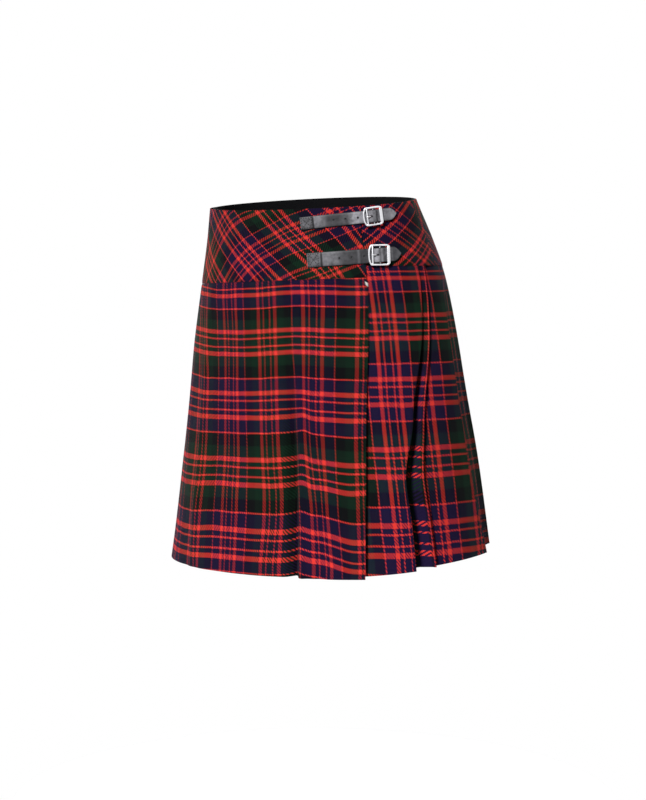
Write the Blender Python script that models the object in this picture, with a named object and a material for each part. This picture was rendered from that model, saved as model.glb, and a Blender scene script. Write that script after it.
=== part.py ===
"""A kilt-style tartan mini skirt, filled out as it is worn, with its waist at the origin.

X points to the wearer's left, -Y to the wearer's front and Z up.  A place on the garment is given
by its turn (degrees round from the centre front towards the wearer's left), its drop below the
waist and its lift outwards from the body form.  Each cloth piece is a wall round the middle
surface that its rows of places give, and the pleats are that wall folded on itself.
"""
import math

import bmesh
import bpy
from mathutils import Matrix, Vector

# Thicknesses of the materials, and the room between pieces that touch
CLOTH = 0.0013
LINING = 0.0010
STRAP_LEATHER = 0.0014
CHAPE_LEATHER = 0.0007
SEAM = 0.0003
LAYER = CLOTH + 2 * SEAM
LINING_ROOM = 0.0005

# Heights of the garment, as drops below the waist
RIM_FRONT = 0.0096
RIM_LEAN = 0.0020
OUTER_SEAM = 0.0945
OUTER_SEAM_LEAN = 0.0060
UNDER_SEAM = 0.0765
LINING_TOP = 0.0015
LINING_FOOT = 0.0640
APRON_HEM = 0.4500
UNDER_HEM = 0.4450
PLEAT_HEM = 0.4318
PLEAT_HEM_LEAN = 0.0090
PLEAT_HEM_DIP = 0.0120

# Turns of the seams and hidden edges, in degrees
LEFT_SIDE_SEAM = 89.0
RIGHT_SIDE_SEAM = 270.0
UNDER_EDGE = -58.0
APRON_BACK_EDGE = -75.0
LAST_PLEAT = 296.0
PLEAT_START = 5.0
STEP_START = -88.0
STEP_END = -78.0

# Sections of the body form: drop, half width, half depth, set back
SECTIONS = (
    (-0.020, 0.1280, 0.0930, -0.0080),
    (0.000, 0.1335, 0.0979, -0.0030),
    (0.045, 0.1462, 0.1086, 0.0130),
    (0.095, 0.1593, 0.1195, 0.0250),
    (0.170, 0.1727, 0.1305, 0.0320),
    (0.250, 0.1820, 0.1407, 0.0370),
    (0.330, 0.1918, 0.1510, 0.0420),
    (0.410, 0.2015, 0.1610, 0.0440),
    (0.470, 0.2095, 0.1700, 0.0440),
)
ASIDE = 0.0012

# The free front edge of the outer yoke and apron: drop, turn
FREE_EDGE = (
    (-0.010, 47.2),
    (0.000, 46.3),
    (0.035, 42.4),
    (0.055, 41.4),
    (0.095, 40.6),
    (0.237, 36.6),
    (0.356, 34.7),
    (0.460, 33.9),
)

# Fold edges of the three pleats at the wearer's left hip: drop, then a turn for each pleat
HIP_PLEATS = (
    (0.075, 72.0, 76.5, 93.0),
    (0.157, 65.7, 70.7, 87.0),
    (0.235, 57.7, 63.9, 86.8),
    (0.273, 55.4, 61.6, 87.2),
    (0.327, 50.8, 59.3, 87.6),
    (0.385, 51.9, 60.6, 91.5),
    (0.450, 52.7, 62.0, 97.0),
)
HIP_PLEAT_OPENING = (1.25, 0.35, 1.0)
HIP_PLEAT_HOLLOW = (0.0, 0.0, 0.0100)

# The pleats round the back, evenly spaced along the seam
BACK_PLEATS = 11
BACK_SWAY = 2.6
BACK_SWAY_STEP = 2.4
BACK_HOLLOW = 0.0025
BACK_OPENING_SWAY = 0.25
LAST_OPENING = 0.3
PLEAT_GROUPS = (("pleats_left", 0, 4), ("pleats_back_left", 4, 7),
                ("pleats_back_right", 7, 10), ("pleats_right", 10, 14))

# How a pleat stands at its seam and at the hem, as lifts of the middle of its cloth
PLEAT_FACE_RISE = 0.0045
PLEAT_FOLD = (0.00085, 0.0021)
PLEAT_INNER_FOLD = (0.00085, 0.0015)
PLEAT_FLOOR = (-0.0034, -0.0055)
PLEAT_RETURN = (-0.0047, -0.0065)
PLEAT_DEPTH = 0.6

# Points of a pleat's face, as shares: across it, risen to its fold edge, sunk with its hollow
FACE_SHAPE = (
    (0.35, 0.45, 0.35),
    (0.70, 0.82, 0.15),
)

# How much of a pleat's hollow there is: drop, share
HOLLOW = (
    (0.070, 0.0),
    (0.130, 0.9),
    (0.190, 1.0),
    (0.280, 0.8),
    (0.450, 0.35),
)

# Soft folds of the two aprons
APRON_LIFT = 0.0030
TROUGH_TURN = 6.5
TROUGH_DEPTH = 0.0042
TROUGH_WIDTH = 6.0
RIDGE_TURNS = (-58.0, -33.0)
RIDGE_DROPS = (0.240, 0.420)
RIDGE_HEIGHT = 0.0020
RIDGE_WIDTH = 6.5
UNDER_SINK = 0.0060

# Straps: name, start turn and drop, tip turn and drop, width, turns of the holes, buckle's turn,
# tilt, width and height
STRAPS = (
    ("upper", 12.6, 0.0263, 67.1, 0.0135, 0.0150, (29.5, 35.7, 42.4), 50.9, 8.5, 0.0250, 0.0225),
    ("lower", 14.2, 0.0703, 61.6, 0.0615, 0.0175, (29.1, 35.0, 41.1), 48.7, 1.0, 0.0275, 0.0255),
)
STRAP_TIP = 0.0110
TIP_MIDDLE = 0.45
TIP_NARROWING = 0.88
TIP_POWER = 1.5
STRAP_PLAIN_ROWS = 6
HOLE_RADIUS = 0.0012
HOLE_SIDES = 8
HOLE_CUT = (0.001, 0.012)

# The strap's lift where it passes the lower buckle: along from the buckle's middle, lift
BUCKLE_PASS = (
    (-0.0178, 0.00350),
    (-0.0142, 0.00275),
    (-0.0072, 0.00240),
    (-0.0052, 0.00370),
    (-0.0012, 0.00650),
    (0.0034, 0.00650),
    (0.0076, 0.00330),
    (0.0094, 0.00275),
)
PASS_WIDTH = 0.0275

# Buckle frame, centre bar, prong and chape
FRAME_LIFT = 0.0046
FRAME_THICK = 0.0021
RAIL = 0.0022
THICK_BAR = 0.0042
THIN_BAR = 0.0020
SLOT = 0.0019
CORNER = 0.0035
SLOT_CORNER = 0.0006
WINDOW_CORNER = 0.0015
BOW = 0.0016
BOW_AT_SLOT = 0.6
BOW_POINT = (0.8, 0.35)
FRAME_BEVEL = 0.0005
CUT_MARGIN = 0.0020
CENTRE_BAR_ALONG = 0.0012
CENTRE_BAR_WIDTH = 0.0014
CENTRE_BAR_HEIGHT = 0.0010
CENTRE_BAR_DROP = 0.0006
PRONG_RADIUS = 0.0006
PRONG_ROOM = 0.0005
PRONG_SLOT = 0.0016
PRONG_HOLE = (-0.0058, -0.0008)
PRONG_SIDES = 6
PRONG_TIP = 0.9
CHAPE_LENGTH = 0.0230
CHAPE_MARGIN = 0.0010
CHAPE_LIFT = 0.0016
CHAPE_MIDDLE = 0.6
CHAPE_BEND = 0.0050
WRAP_ROOM = 0.00035

# Rows and columns of points in each wall
YOKE_ROWS = 4
YOKE_FRONT_COLUMNS = 23
YOKE_UNDER_COLUMNS = 24
YOKE_BACK_COLUMNS = 30
LINING_ROWS = 3
LINING_COLUMNS = 60
APRON_ROWS = 10
APRON_COLUMNS = 27
UNDER_APRON_ROWS = 9
UNDER_APRON_COLUMNS = 14
PLEAT_ROWS = 9

# Step of the walk along the seam, in degrees, and the least share that a sharp corner is mitred by
SEAM_STEP = 0.25
MITRE_LIMIT = 0.6

# Colours and finishes: red, green, blue, roughness, metallic
FINISHES = {
    "worsted_tartan": (0.32, 0.04, 0.05, 0.90, 0.0),
    "lining_twill": (0.012, 0.012, 0.014, 0.85, 0.0),
    "strap_leather": (0.03, 0.03, 0.032, 0.45, 0.0),
    "chrome_plate": (0.80, 0.80, 0.82, 0.18, 1.0),
}


def clear_scene():
    for old in list(bpy.data.objects):
        bpy.data.objects.remove(old, do_unlink=True)


def make_material(name):
    red, green, blue, roughness, metallic = FINISHES[name]
    material = bpy.data.materials.new(name)
    material.use_nodes = True
    shader = material.node_tree.nodes["Principled BSDF"]
    shader.inputs["Base Color"].default_value = (red, green, blue, 1.0)
    shader.inputs["Roughness"].default_value = roughness
    shader.inputs["Metallic"].default_value = metallic
    return material


def mix(start, end, share):
    return start + (end - start) * share


def ease(share):
    share = min(max(share, 0.0), 1.0)
    return share * share * (3.0 - 2.0 * share)


def read_curve(table, column, where):
    """A smooth curve through one column of a table, read at a place in its first column."""
    last = len(table) - 1
    index = 0
    while index < last - 1 and where > table[index + 1][0]:
        index += 1

    def slope(row):
        low, high = max(row - 1, 0), min(row + 1, last)
        return (table[high][column] - table[low][column]) / (table[high][0] - table[low][0])

    left, right = table[index], table[index + 1]
    span = right[0] - left[0]
    share = min(max((where - left[0]) / span, 0.0), 1.0)
    square, cube = share * share, share * share * share
    return ((2 * cube - 3 * square + 1) * left[column]
            + (cube - 2 * square + share) * span * slope(index)
            + (3 * square - 2 * cube) * right[column]
            + (cube - square) * span * slope(index + 1))


def place(turn, drop, lift):
    """The point at a turn, drop and lift, moved out level from the body form."""
    half_width, half_depth, set_back = (read_curve(SECTIONS, column, drop) for column in (1, 2, 3))
    angle = math.radians(turn)
    sine, cosine = math.sin(angle), math.cos(angle)
    out = Vector((half_depth * sine, -half_width * cosine, 0.0)).normalized()
    return Vector((ASIDE + half_width * sine, set_back - half_depth * cosine, -drop)) + out * lift


def metres_per_degree(turn, drop):
    angle = math.radians(turn)
    half_width, half_depth = (read_curve(SECTIONS, column, drop) for column in (1, 2))
    return math.radians(math.hypot(half_width * math.cos(angle), half_depth * math.sin(angle)))


def rim_drop(turn):
    angle = math.radians(turn)
    return RIM_FRONT * math.cos(angle) - RIM_LEAN * math.sin(angle)


def outer_seam_drop(turn):
    return OUTER_SEAM - OUTER_SEAM_LEAN * math.sin(math.radians(turn))


def under_seam_drop(turn):
    """The hip seam under the outer yoke, round the back and on to the wearer's right side."""
    if turn > RIGHT_SIDE_SEAM:
        return outer_seam_drop(turn)
    share = (turn - LEFT_SIDE_SEAM) / (RIGHT_SIDE_SEAM - LEFT_SIDE_SEAM)
    return mix(UNDER_SEAM, outer_seam_drop(RIGHT_SIDE_SEAM), ease(share))


def pleat_hem_drop(turn):
    """The pleats' hem, which dips towards the free edge of the apron."""
    forward = math.cos(math.radians(turn))
    return PLEAT_HEM + PLEAT_HEM_LEAN * forward + PLEAT_HEM_DIP * max(forward, 0.0) ** 2


def free_edge(drop):
    return read_curve(FREE_EDGE, 1, drop)


def fall(drop):
    """How far down the skirt a place is: 0 at the hip seam, 1 at the hem."""
    return min(max((drop - UNDER_SEAM) / (APRON_HEM - UNDER_SEAM), 0.0), 1.0)


def under_lift(drop):
    return CLOTH / 2 - UNDER_SINK * ease(fall(drop))


def hump(turn, middle, width):
    return math.exp(-((turn - middle) / width) ** 2)


def apron_lift(turn, drop):
    """The outer apron's lift, with the trough at its front and the ridge towards its right."""
    open_share = ease(fall(drop))
    lift = CLOTH / 2 + LAYER + APRON_LIFT * open_share
    lift -= TROUGH_DEPTH * open_share * hump(turn, TROUGH_TURN, TROUGH_WIDTH)
    share = (drop - RIDGE_DROPS[0]) / (RIDGE_DROPS[1] - RIDGE_DROPS[0])
    ridge_turn = mix(RIDGE_TURNS[0], RIDGE_TURNS[1], share)
    return lift + RIDGE_HEIGHT * open_share * hump(turn, ridge_turn, RIDGE_WIDTH)


def outer_lift(turn):
    """The outer yoke steps out over the edge of the under yoke, near its right side seam."""
    return CLOTH / 2 + LAYER * ease((turn - STEP_START) / (STEP_END - STEP_START))


def add_object(name, mesh, material):
    mesh.materials.append(material)
    result = bpy.data.objects.new(name, mesh)
    bpy.context.scene.collection.objects.link(result)
    return result


def smooth(target, degrees):
    target.data.shade_smooth()
    target.data.set_sharp_from_angle(angle=math.radians(degrees))


def mesh_from(name, points, faces):
    mesh = bpy.data.meshes.new(name)
    mesh.from_pydata([tuple(point) for point in points], [], faces)
    mesh.validate()
    return mesh


def level_normal(row, index, closed):
    """The level direction that moves a row's point out by one unit of wall."""
    count = len(row)
    if closed:
        before, after = row[index - 1], row[(index + 1) % count]
    else:
        before, after = row[max(index - 1, 0)], row[min(index + 1, count - 1)]
    here = row[index]
    into = Vector((here.x - before.x, here.y - before.y))
    away = Vector((after.x - here.x, after.y - here.y))
    into = away.normalized() if into.length < 1e-9 else into.normalized()
    away = into if away.length < 1e-9 else away.normalized()
    tangent = (into + away).normalized()
    stretch = 1.0 / max(tangent.dot(into), MITRE_LIMIT)
    return Vector((tangent.y, -tangent.x, 0.0)) * stretch


def make_wall(name, rows, thickness, material, closed=False):
    """A closed wall of one thickness round the surface through rows of points."""
    height, width = len(rows), len(rows[0])
    points = []
    for side in (1, -1):
        for row in rows:
            for index, point in enumerate(row):
                points.append(point + level_normal(row, index, closed) * (side * thickness / 2))

    def corner(side, row, column):
        return side * height * width + row * width + column % width

    faces = []
    steps = width if closed else width - 1
    for row in range(height - 1):
        for column in range(steps):
            quad = ((row, column), (row + 1, column), (row + 1, column + 1), (row, column + 1))
            faces.append([corner(0, *place_in) for place_in in quad])
            faces.append([corner(1, *place_in) for place_in in reversed(quad)])
    for column in range(steps):
        for row, order in ((0, 1), (height - 1, -1)):
            rim = [corner(0, row, column), corner(0, row, column + 1),
                   corner(1, row, column + 1), corner(1, row, column)]
            faces.append(rim[::order])
    if not closed:
        for row in range(height - 1):
            for column, order in ((0, 1), (width - 1, -1)):
                end = [corner(0, row, column), corner(1, row, column),
                       corner(1, row + 1, column), corner(0, row + 1, column)]
                faces.append(end[::order])
    wall = add_object(name, mesh_from(name, points, faces), material)
    smooth(wall, 40)
    return wall


def plain_rows(first_turn, last_turn, columns, top, bottom, lift, steps):
    """Rows of points from a top line to a bottom line between two edges.

    first_turn and last_turn read a drop, top and bottom a turn, and lift a turn and a drop.
    """
    rows = []
    for step in range(steps):
        row = []
        for column in range(columns):
            share = column / (columns - 1)
            turn = mix(first_turn(OUTER_SEAM), last_turn(OUTER_SEAM), share)
            for _ in range(2):
                drop = mix(top(turn), bottom(turn), step / (steps - 1))
                turn = mix(first_turn(drop), last_turn(drop), share)
            row.append(place(turn, drop, lift(turn, drop)))
        rows.append(row)
    return rows


def make_yokes(cloth):
    seam_turn = SEAM / metres_per_degree(LEFT_SIDE_SEAM, UNDER_SEAM) / 2
    rows = plain_rows(lambda drop: RIGHT_SIDE_SEAM - 360.0 + seam_turn, free_edge, YOKE_FRONT_COLUMNS,
                      rim_drop, outer_seam_drop, lambda turn, drop: outer_lift(turn), YOKE_ROWS)
    make_wall("yoke_front", rows, CLOTH, cloth)
    rows = plain_rows(lambda drop: UNDER_EDGE, lambda drop: LEFT_SIDE_SEAM - seam_turn,
                      YOKE_UNDER_COLUMNS, rim_drop, under_seam_drop,
                      lambda turn, drop: CLOTH / 2, YOKE_ROWS)
    make_wall("yoke_under", rows, CLOTH, cloth)
    rows = plain_rows(lambda drop: LEFT_SIDE_SEAM + seam_turn,
                      lambda drop: RIGHT_SIDE_SEAM - seam_turn, YOKE_BACK_COLUMNS,
                      rim_drop, under_seam_drop, lambda turn, drop: CLOTH / 2, YOKE_ROWS)
    make_wall("yoke_back", rows, CLOTH, cloth)


def make_lining(cloth):
    """A plain facing inside the yoke, all round."""
    rows = []
    for step in range(LINING_ROWS):
        row = []
        for index in range(LINING_COLUMNS):
            turn = 360.0 * index / LINING_COLUMNS
            drop = mix(rim_drop(turn) + LINING_TOP, LINING_FOOT, step / (LINING_ROWS - 1))
            row.append(place(turn, drop, -LINING_ROOM - LINING / 2))
        rows.append(row)
    make_wall("waist_lining", rows, LINING, cloth, closed=True)


def make_aprons(cloth):
    rows = plain_rows(lambda drop: APRON_BACK_EDGE, free_edge, APRON_COLUMNS,
                      lambda turn: outer_seam_drop(turn) + SEAM, lambda turn: APRON_HEM,
                      apron_lift, APRON_ROWS)
    make_wall("apron_outer", rows, CLOTH, cloth)
    half_gap = SEAM / metres_per_degree(free_edge(OUTER_SEAM), OUTER_SEAM) / 2
    rows = plain_rows(lambda drop: UNDER_EDGE, lambda drop: free_edge(drop) - PLEAT_START - half_gap,
                      UNDER_APRON_COLUMNS, lambda turn: under_seam_drop(turn) + SEAM,
                      lambda turn: UNDER_HEM, lambda turn, drop: under_lift(drop), UNDER_APRON_ROWS)
    make_wall("apron_under", rows, CLOTH, cloth)


def turn_along_seam(start, length):
    """The turn that lies a length along the hip seam from another turn."""
    turn = start
    while length > 0.0:
        turn += SEAM_STEP
        length -= SEAM_STEP * metres_per_degree(turn, OUTER_SEAM)
    return turn


def seam_length(start, end):
    steps = int((end - start) / SEAM_STEP)
    return sum(SEAM_STEP * metres_per_degree(start + SEAM_STEP * step, OUTER_SEAM)
               for step in range(steps))


def pleat_list():
    """Each pleat's fold edge, as a function of drop, how far it opens and the hollow behind it."""
    pleats = []
    for column, (opening, hollow) in enumerate(zip(HIP_PLEAT_OPENING, HIP_PLEAT_HOLLOW)):
        pleats.append((lambda drop, column=column: read_curve(HIP_PLEATS, column + 1, drop),
                       opening, hollow))
    start = HIP_PLEATS[0][-1]
    pitch = seam_length(start, LAST_PLEAT) / BACK_PLEATS
    for number in range(1, BACK_PLEATS + 1):
        seam_turn = turn_along_seam(start, pitch * number)
        sway = BACK_SWAY * math.sin(BACK_SWAY_STEP * number)
        is_last = number == BACK_PLEATS
        sway = 0.0 if is_last else sway
        opening = 1.0 + BACK_OPENING_SWAY * math.cos(BACK_SWAY_STEP * number)
        opening = LAST_OPENING if is_last else opening
        hollow = 0.0 if is_last else BACK_HOLLOW
        pleats.append((lambda drop, seam_turn=seam_turn, sway=sway:
                       seam_turn + sway * ease(fall(drop)), opening, hollow))
    return pleats


def pleat_path(pleats, first, last, drop_share):
    """One row of a group of pleats: face, fold edge, return, inner fold and inner layer."""

    def drop_at(turn):
        return mix(under_seam_drop(turn) + SEAM, pleat_hem_drop(turn), drop_share)

    def edge_of(number):
        edge = pleats[number][0]
        turn = edge(UNDER_SEAM)
        for _ in range(3):
            turn = edge(drop_at(turn))
        return turn

    def add(turn, along, lift):
        drop = drop_at(turn)
        shifted = turn + along / metres_per_degree(turn, drop)
        path.append(place(shifted, drop_at(shifted), lift))

    def hollow_of(number):
        """How far the cloth sinks behind a pleat's fold edge."""
        return pleats[number][2] * read_curve(HOLLOW, 1, drop_at(edge_of(number)))

    path = []
    base = CLOTH / 2
    open_share = ease(drop_share)
    fold_out, fold_in = (mix(*pair, open_share) for pair in (PLEAT_FOLD, PLEAT_INNER_FOLD))
    floor, back = (base + mix(*pair, open_share) for pair in (PLEAT_FLOOR, PLEAT_RETURN))
    if first == 0:
        drop = drop_at(free_edge(OUTER_SEAM))
        begin, start_lift, sunk = free_edge(drop) - PLEAT_START, under_lift(drop), 0.0
    else:
        sunk = hollow_of(first - 1)
        begin, start_lift = edge_of(first - 1), floor - sunk
    add(begin, SEAM / 2, start_lift)
    for number in range(first, last):
        edge, opening = edge_of(number), pleats[number][1]
        top = base + PLEAT_FACE_RISE * opening * open_share
        radius = mix(PLEAT_FOLD[0], fold_out, min(opening, 1.0))
        for across, rise, sink in FACE_SHAPE:
            add(mix(begin, edge, across), 0.0, mix(start_lift, top, rise) - sunk * sink)
        add(edge, -radius, top)
        add(edge, 0.0, top - radius)
        add(edge, -radius, top - 2 * radius)
        inner = edge - (edge - begin) * PLEAT_DEPTH
        low = back - sunk
        add(inner, fold_in, low)
        add(inner, 0.0, low - fold_in)
        add(inner, fold_in, low - 2 * fold_in)
        sunk = hollow_of(number)
        begin, start_lift = edge, floor - sunk
        add(edge, -SEAM / 2, start_lift)
    return path


def make_pleats(cloth):
    pleats = pleat_list()
    for name, first, last in PLEAT_GROUPS:
        rows = [pleat_path(pleats, first, last, step / (PLEAT_ROWS - 1)) for step in range(PLEAT_ROWS)]
        make_wall(name, rows, CLOTH, cloth)


def cut_with(target, cutter, operation="DIFFERENCE"):
    cutter.hide_render = True
    cutter.display_type = "WIRE"
    modifier = target.modifiers.new(operation.lower(), "BOOLEAN")
    modifier.operation = operation
    modifier.solver = "EXACT"
    modifier.object = cutter


def extrude_outline(name, outline, low, high, matrix, material):
    """A solid from a closed outline (counter-clockwise) between two heights of a local plane."""
    count = len(outline)
    points = [matrix @ Vector((x, y, height)) for height in (low, high) for x, y in outline]
    faces = [list(range(count))[::-1], list(range(count, 2 * count))]
    for index in range(count):
        after = (index + 1) % count
        faces.append([index, after, after + count, index + count])
    return add_object(name, mesh_from(name, points, faces), material)


def strap_line(strap):
    """The strap's middle line: its drop at a turn, and its slope as drop for each metre along."""
    _, start_turn, start_drop, tip_turn, tip_drop = strap[:5]
    rate = metres_per_degree((start_turn + tip_turn) / 2, start_drop)
    slope = (tip_drop - start_drop) / ((tip_turn - start_turn) * rate)

    def drop_at(turn):
        return mix(start_drop, tip_drop, (turn - start_turn) / (tip_turn - start_turn))

    return drop_at, slope, rate


def strap_place(strap, turn, across, lift):
    """A point on the strap: square across its middle line at a turn, and out from the body."""
    drop_at, slope, rate = strap_line(strap)
    middle = place(turn, drop_at(turn), lift)
    along = (place(turn + 0.5, drop_at(turn + 0.5), lift)
             - place(turn - 0.5, drop_at(turn - 0.5), lift)).normalized()
    drop = drop_at(turn) - across * math.cos(math.atan(slope))
    shifted = turn
    for _ in range(3):
        shifted -= (place(shifted, drop, lift) - middle).dot(along) / rate
    return place(shifted, drop, lift)


def strap_lift(along):
    """The strap's lift at a distance along from its buckle's middle, on the lower buckle."""
    along = min(max(along, BUCKLE_PASS[0][0]), BUCKLE_PASS[-1][0])
    for (left, low), (right, high) in zip(BUCKLE_PASS, BUCKLE_PASS[1:]):
        if along <= right:
            return mix(low, high, (along - left) / (right - left))
    return BUCKLE_PASS[-1][1]


def make_strap(strap, leather):
    name, start_turn, _, tip_turn, _, width, holes, buckle_turn = strap[:8]
    _, _, rate = strap_line(strap)
    scale = strap[9] / PASS_WIDTH
    near = [buckle_turn + along * scale / rate for along, _ in BUCKLE_PASS]
    tip_start = tip_turn - STRAP_TIP / rate
    before = [mix(start_turn, near[0], step / STRAP_PLAIN_ROWS) for step in range(STRAP_PLAIN_ROWS)]
    turns = before + near + [tip_start, mix(tip_start, tip_turn, TIP_MIDDLE), tip_turn]
    points = []
    for turn in turns:
        lift = strap_lift((turn - buckle_turn) * rate / scale)
        tip_share = max((turn - tip_start) / (tip_turn - tip_start), 0.0)
        half = width / 2 * (1.0 - TIP_NARROWING * tip_share ** TIP_POWER)
        for across, height in ((half, lift), (half, lift + STRAP_LEATHER),
                               (-half, lift + STRAP_LEATHER), (-half, lift)):
            points.append(strap_place(strap, turn, across, height))
    faces = [[0, 1, 2, 3]]
    for index in range(len(turns) - 1):
        for side in range(4):
            after = (side + 1) % 4
            faces.append([4 * index + side, 4 * index + 4 + side, 4 * index + 4 + after,
                          4 * index + after])
    end = 4 * (len(turns) - 1)
    faces.append([end + 3, end + 2, end + 1, end])
    body = add_object("strap_" + name, mesh_from("strap_" + name, points, faces), leather)
    smooth(body, 35)
    for number, turn in enumerate(holes):
        middle = strap_place(strap, turn, 0.0, 0.0)
        out = strap_place(strap, turn, 0.0, 0.01) - middle
        turned = out.to_track_quat("Z", "Y").to_matrix().to_4x4()
        circle = [(HOLE_RADIUS * math.cos(2 * math.pi * side / HOLE_SIDES),
                   HOLE_RADIUS * math.sin(2 * math.pi * side / HOLE_SIDES))
                  for side in range(HOLE_SIDES)]
        cutter = extrude_outline("hole_%s_%d" % (name, number), circle, *HOLE_CUT,
                                 Matrix.Translation(middle) @ turned, leather)
        cut_with(body, cutter)
    return body


def buckle_matrix(strap):
    """The buckle's own plane: X along it towards the tip, Y up it and Z out of the garment."""
    buckle_turn, tilt = strap[7:9]
    drop = strap_line(strap)[0](buckle_turn)
    middle = place(buckle_turn, drop, 0.0)
    around = place(buckle_turn + 1.0, drop, 0.0) - place(buckle_turn - 1.0, drop, 0.0)
    upward = place(buckle_turn, drop - 0.004, 0.0) - place(buckle_turn, drop + 0.004, 0.0)
    out = around.cross(upward).normalized()
    around.normalize()
    lean = math.radians(tilt)
    along = around * math.cos(lean) + out.cross(around) * math.sin(lean)
    across = out.cross(along)
    return Matrix(((along.x, across.x, out.x, middle.x), (along.y, across.y, out.y, middle.y),
                   (along.z, across.z, out.z, middle.z), (0.0, 0.0, 0.0, 1.0)))


def round_outline(left, right, half_height, corner, bow=0.0, steps=3):
    """A rectangle with round corners, whose left side may bow outwards."""
    outline = []
    corners = ((right - corner, corner - half_height, -90), (right - corner, half_height - corner, 0),
               (left + corner, half_height - corner, 90), (left + corner, corner - half_height, 180))
    for number, (x, y, start) in enumerate(corners):
        if number == 3 and bow > 0.0:
            outline.append((left - bow * BOW_POINT[0], half_height * BOW_POINT[1]))
            outline.append((left - bow * BOW_POINT[0], -half_height * BOW_POINT[1]))
        for step in range(steps + 1):
            angle = math.radians(start + 90.0 * step / steps)
            outline.append((x + corner * math.cos(angle), y + corner * math.sin(angle)))
    return outline


def make_buckle(strap, chrome, leather):
    name, width, height = strap[0], strap[9], strap[10]
    matrix = buckle_matrix(strap)
    left, right, half = -width / 2 + BOW, width / 2, height / 2
    low, high = FRAME_LIFT, FRAME_LIFT + FRAME_THICK
    cut_low, cut_high = low - CUT_MARGIN, high + CUT_MARGIN
    outline = round_outline(left, right, half, CORNER, BOW)
    frame = extrude_outline("buckle_" + name, outline, low, high, matrix, chrome)
    slot_left = left + THIN_BAR - BOW * BOW_AT_SLOT
    window = round_outline(slot_left, slot_left + SLOT, half - RAIL, SLOT_CORNER, steps=1)
    cut_with(frame, extrude_outline("slot_cut_" + name, window, cut_low, cut_high, matrix, chrome))
    main_left, main_right = slot_left + SLOT + THIN_BAR, right - THICK_BAR
    window = round_outline(main_left, main_right, half - RAIL, WINDOW_CORNER, steps=2)
    cut_with(frame, extrude_outline("window_cut_" + name, window, cut_low, cut_high, matrix, chrome))
    bevel = frame.modifiers.new("round_edges", "BEVEL")
    bevel.width = FRAME_BEVEL
    bevel.segments = 1
    bevel.limit_method = "ANGLE"
    bevel.angle_limit = math.radians(50)
    smooth(frame, 50)
    bar_along = CENTRE_BAR_ALONG * width / PASS_WIDTH
    make_centre_bar(name, matrix, frame, chrome, bar_along, half)
    make_prong(name, matrix, chrome, bar_along, main_left)
    make_chape(strap, matrix, leather, bar_along)


def bar_middle():
    """The lift of the middle of a buckle's centre bar."""
    return FRAME_LIFT - CENTRE_BAR_DROP + CENTRE_BAR_HEIGHT / 2


def make_centre_bar(name, matrix, frame, chrome, along, half):
    """The bar that the chape holds, joined to the frame's two rails."""
    side, reach = CENTRE_BAR_WIDTH / 2, half - RAIL / 2
    box = [(along - side, -reach), (along + side, -reach), (along + side, reach), (along - side, reach)]
    middle = bar_middle()
    bar = extrude_outline("centre_bar_" + name, box, middle - CENTRE_BAR_HEIGHT / 2,
                          middle + CENTRE_BAR_HEIGHT / 2, matrix, chrome)
    cut_with(frame, bar, "UNION")


def tube_along(name, route, radius, sides, matrix, material):
    """A round rod with flat ends along a route in a local plane's X and Z."""
    points = []
    for index, (x, z) in enumerate(route):
        before, after = route[max(index - 1, 0)], route[min(index + 1, len(route) - 1)]
        run, rise = after[0] - before[0], after[1] - before[1]
        length = math.hypot(run, rise)
        for side in range(sides):
            angle = 2 * math.pi * side / sides
            up = radius * math.sin(angle)
            points.append(matrix @ Vector((x - rise / length * up, radius * math.cos(angle),
                                           z + run / length * up)))
    faces = [list(range(sides))[::-1]]
    for index in range(len(route) - 1):
        for side in range(sides):
            after = (side + 1) % sides
            faces.append([index * sides + side, index * sides + after,
                          (index + 1) * sides + after, (index + 1) * sides + side])
    faces.append([(len(route) - 1) * sides + side for side in range(sides)])
    rod = add_object(name, mesh_from(name, points, faces), material)
    bm = bmesh.new()
    bm.from_mesh(rod.data)
    bmesh.ops.recalc_face_normals(bm, faces=bm.faces)
    bm.to_mesh(rod.data)
    bm.free()
    smooth(rod, 50)
    return rod


def make_prong(name, matrix, chrome, bar_along, bar_right):
    """The prong: from the centre bar, up through the strap's hole, onto the second bar."""
    top = FRAME_LIFT + FRAME_THICK + SEAM + PRONG_RADIUS
    start = bar_along - CENTRE_BAR_WIDTH / 2 - SEAM
    route = [(start, bar_middle()), (bar_right + PRONG_RADIUS, top),
             (bar_right - THIN_BAR * PRONG_TIP, top)]
    tube_along("prong_" + name, route, PRONG_RADIUS, PRONG_SIDES, matrix, chrome)


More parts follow.
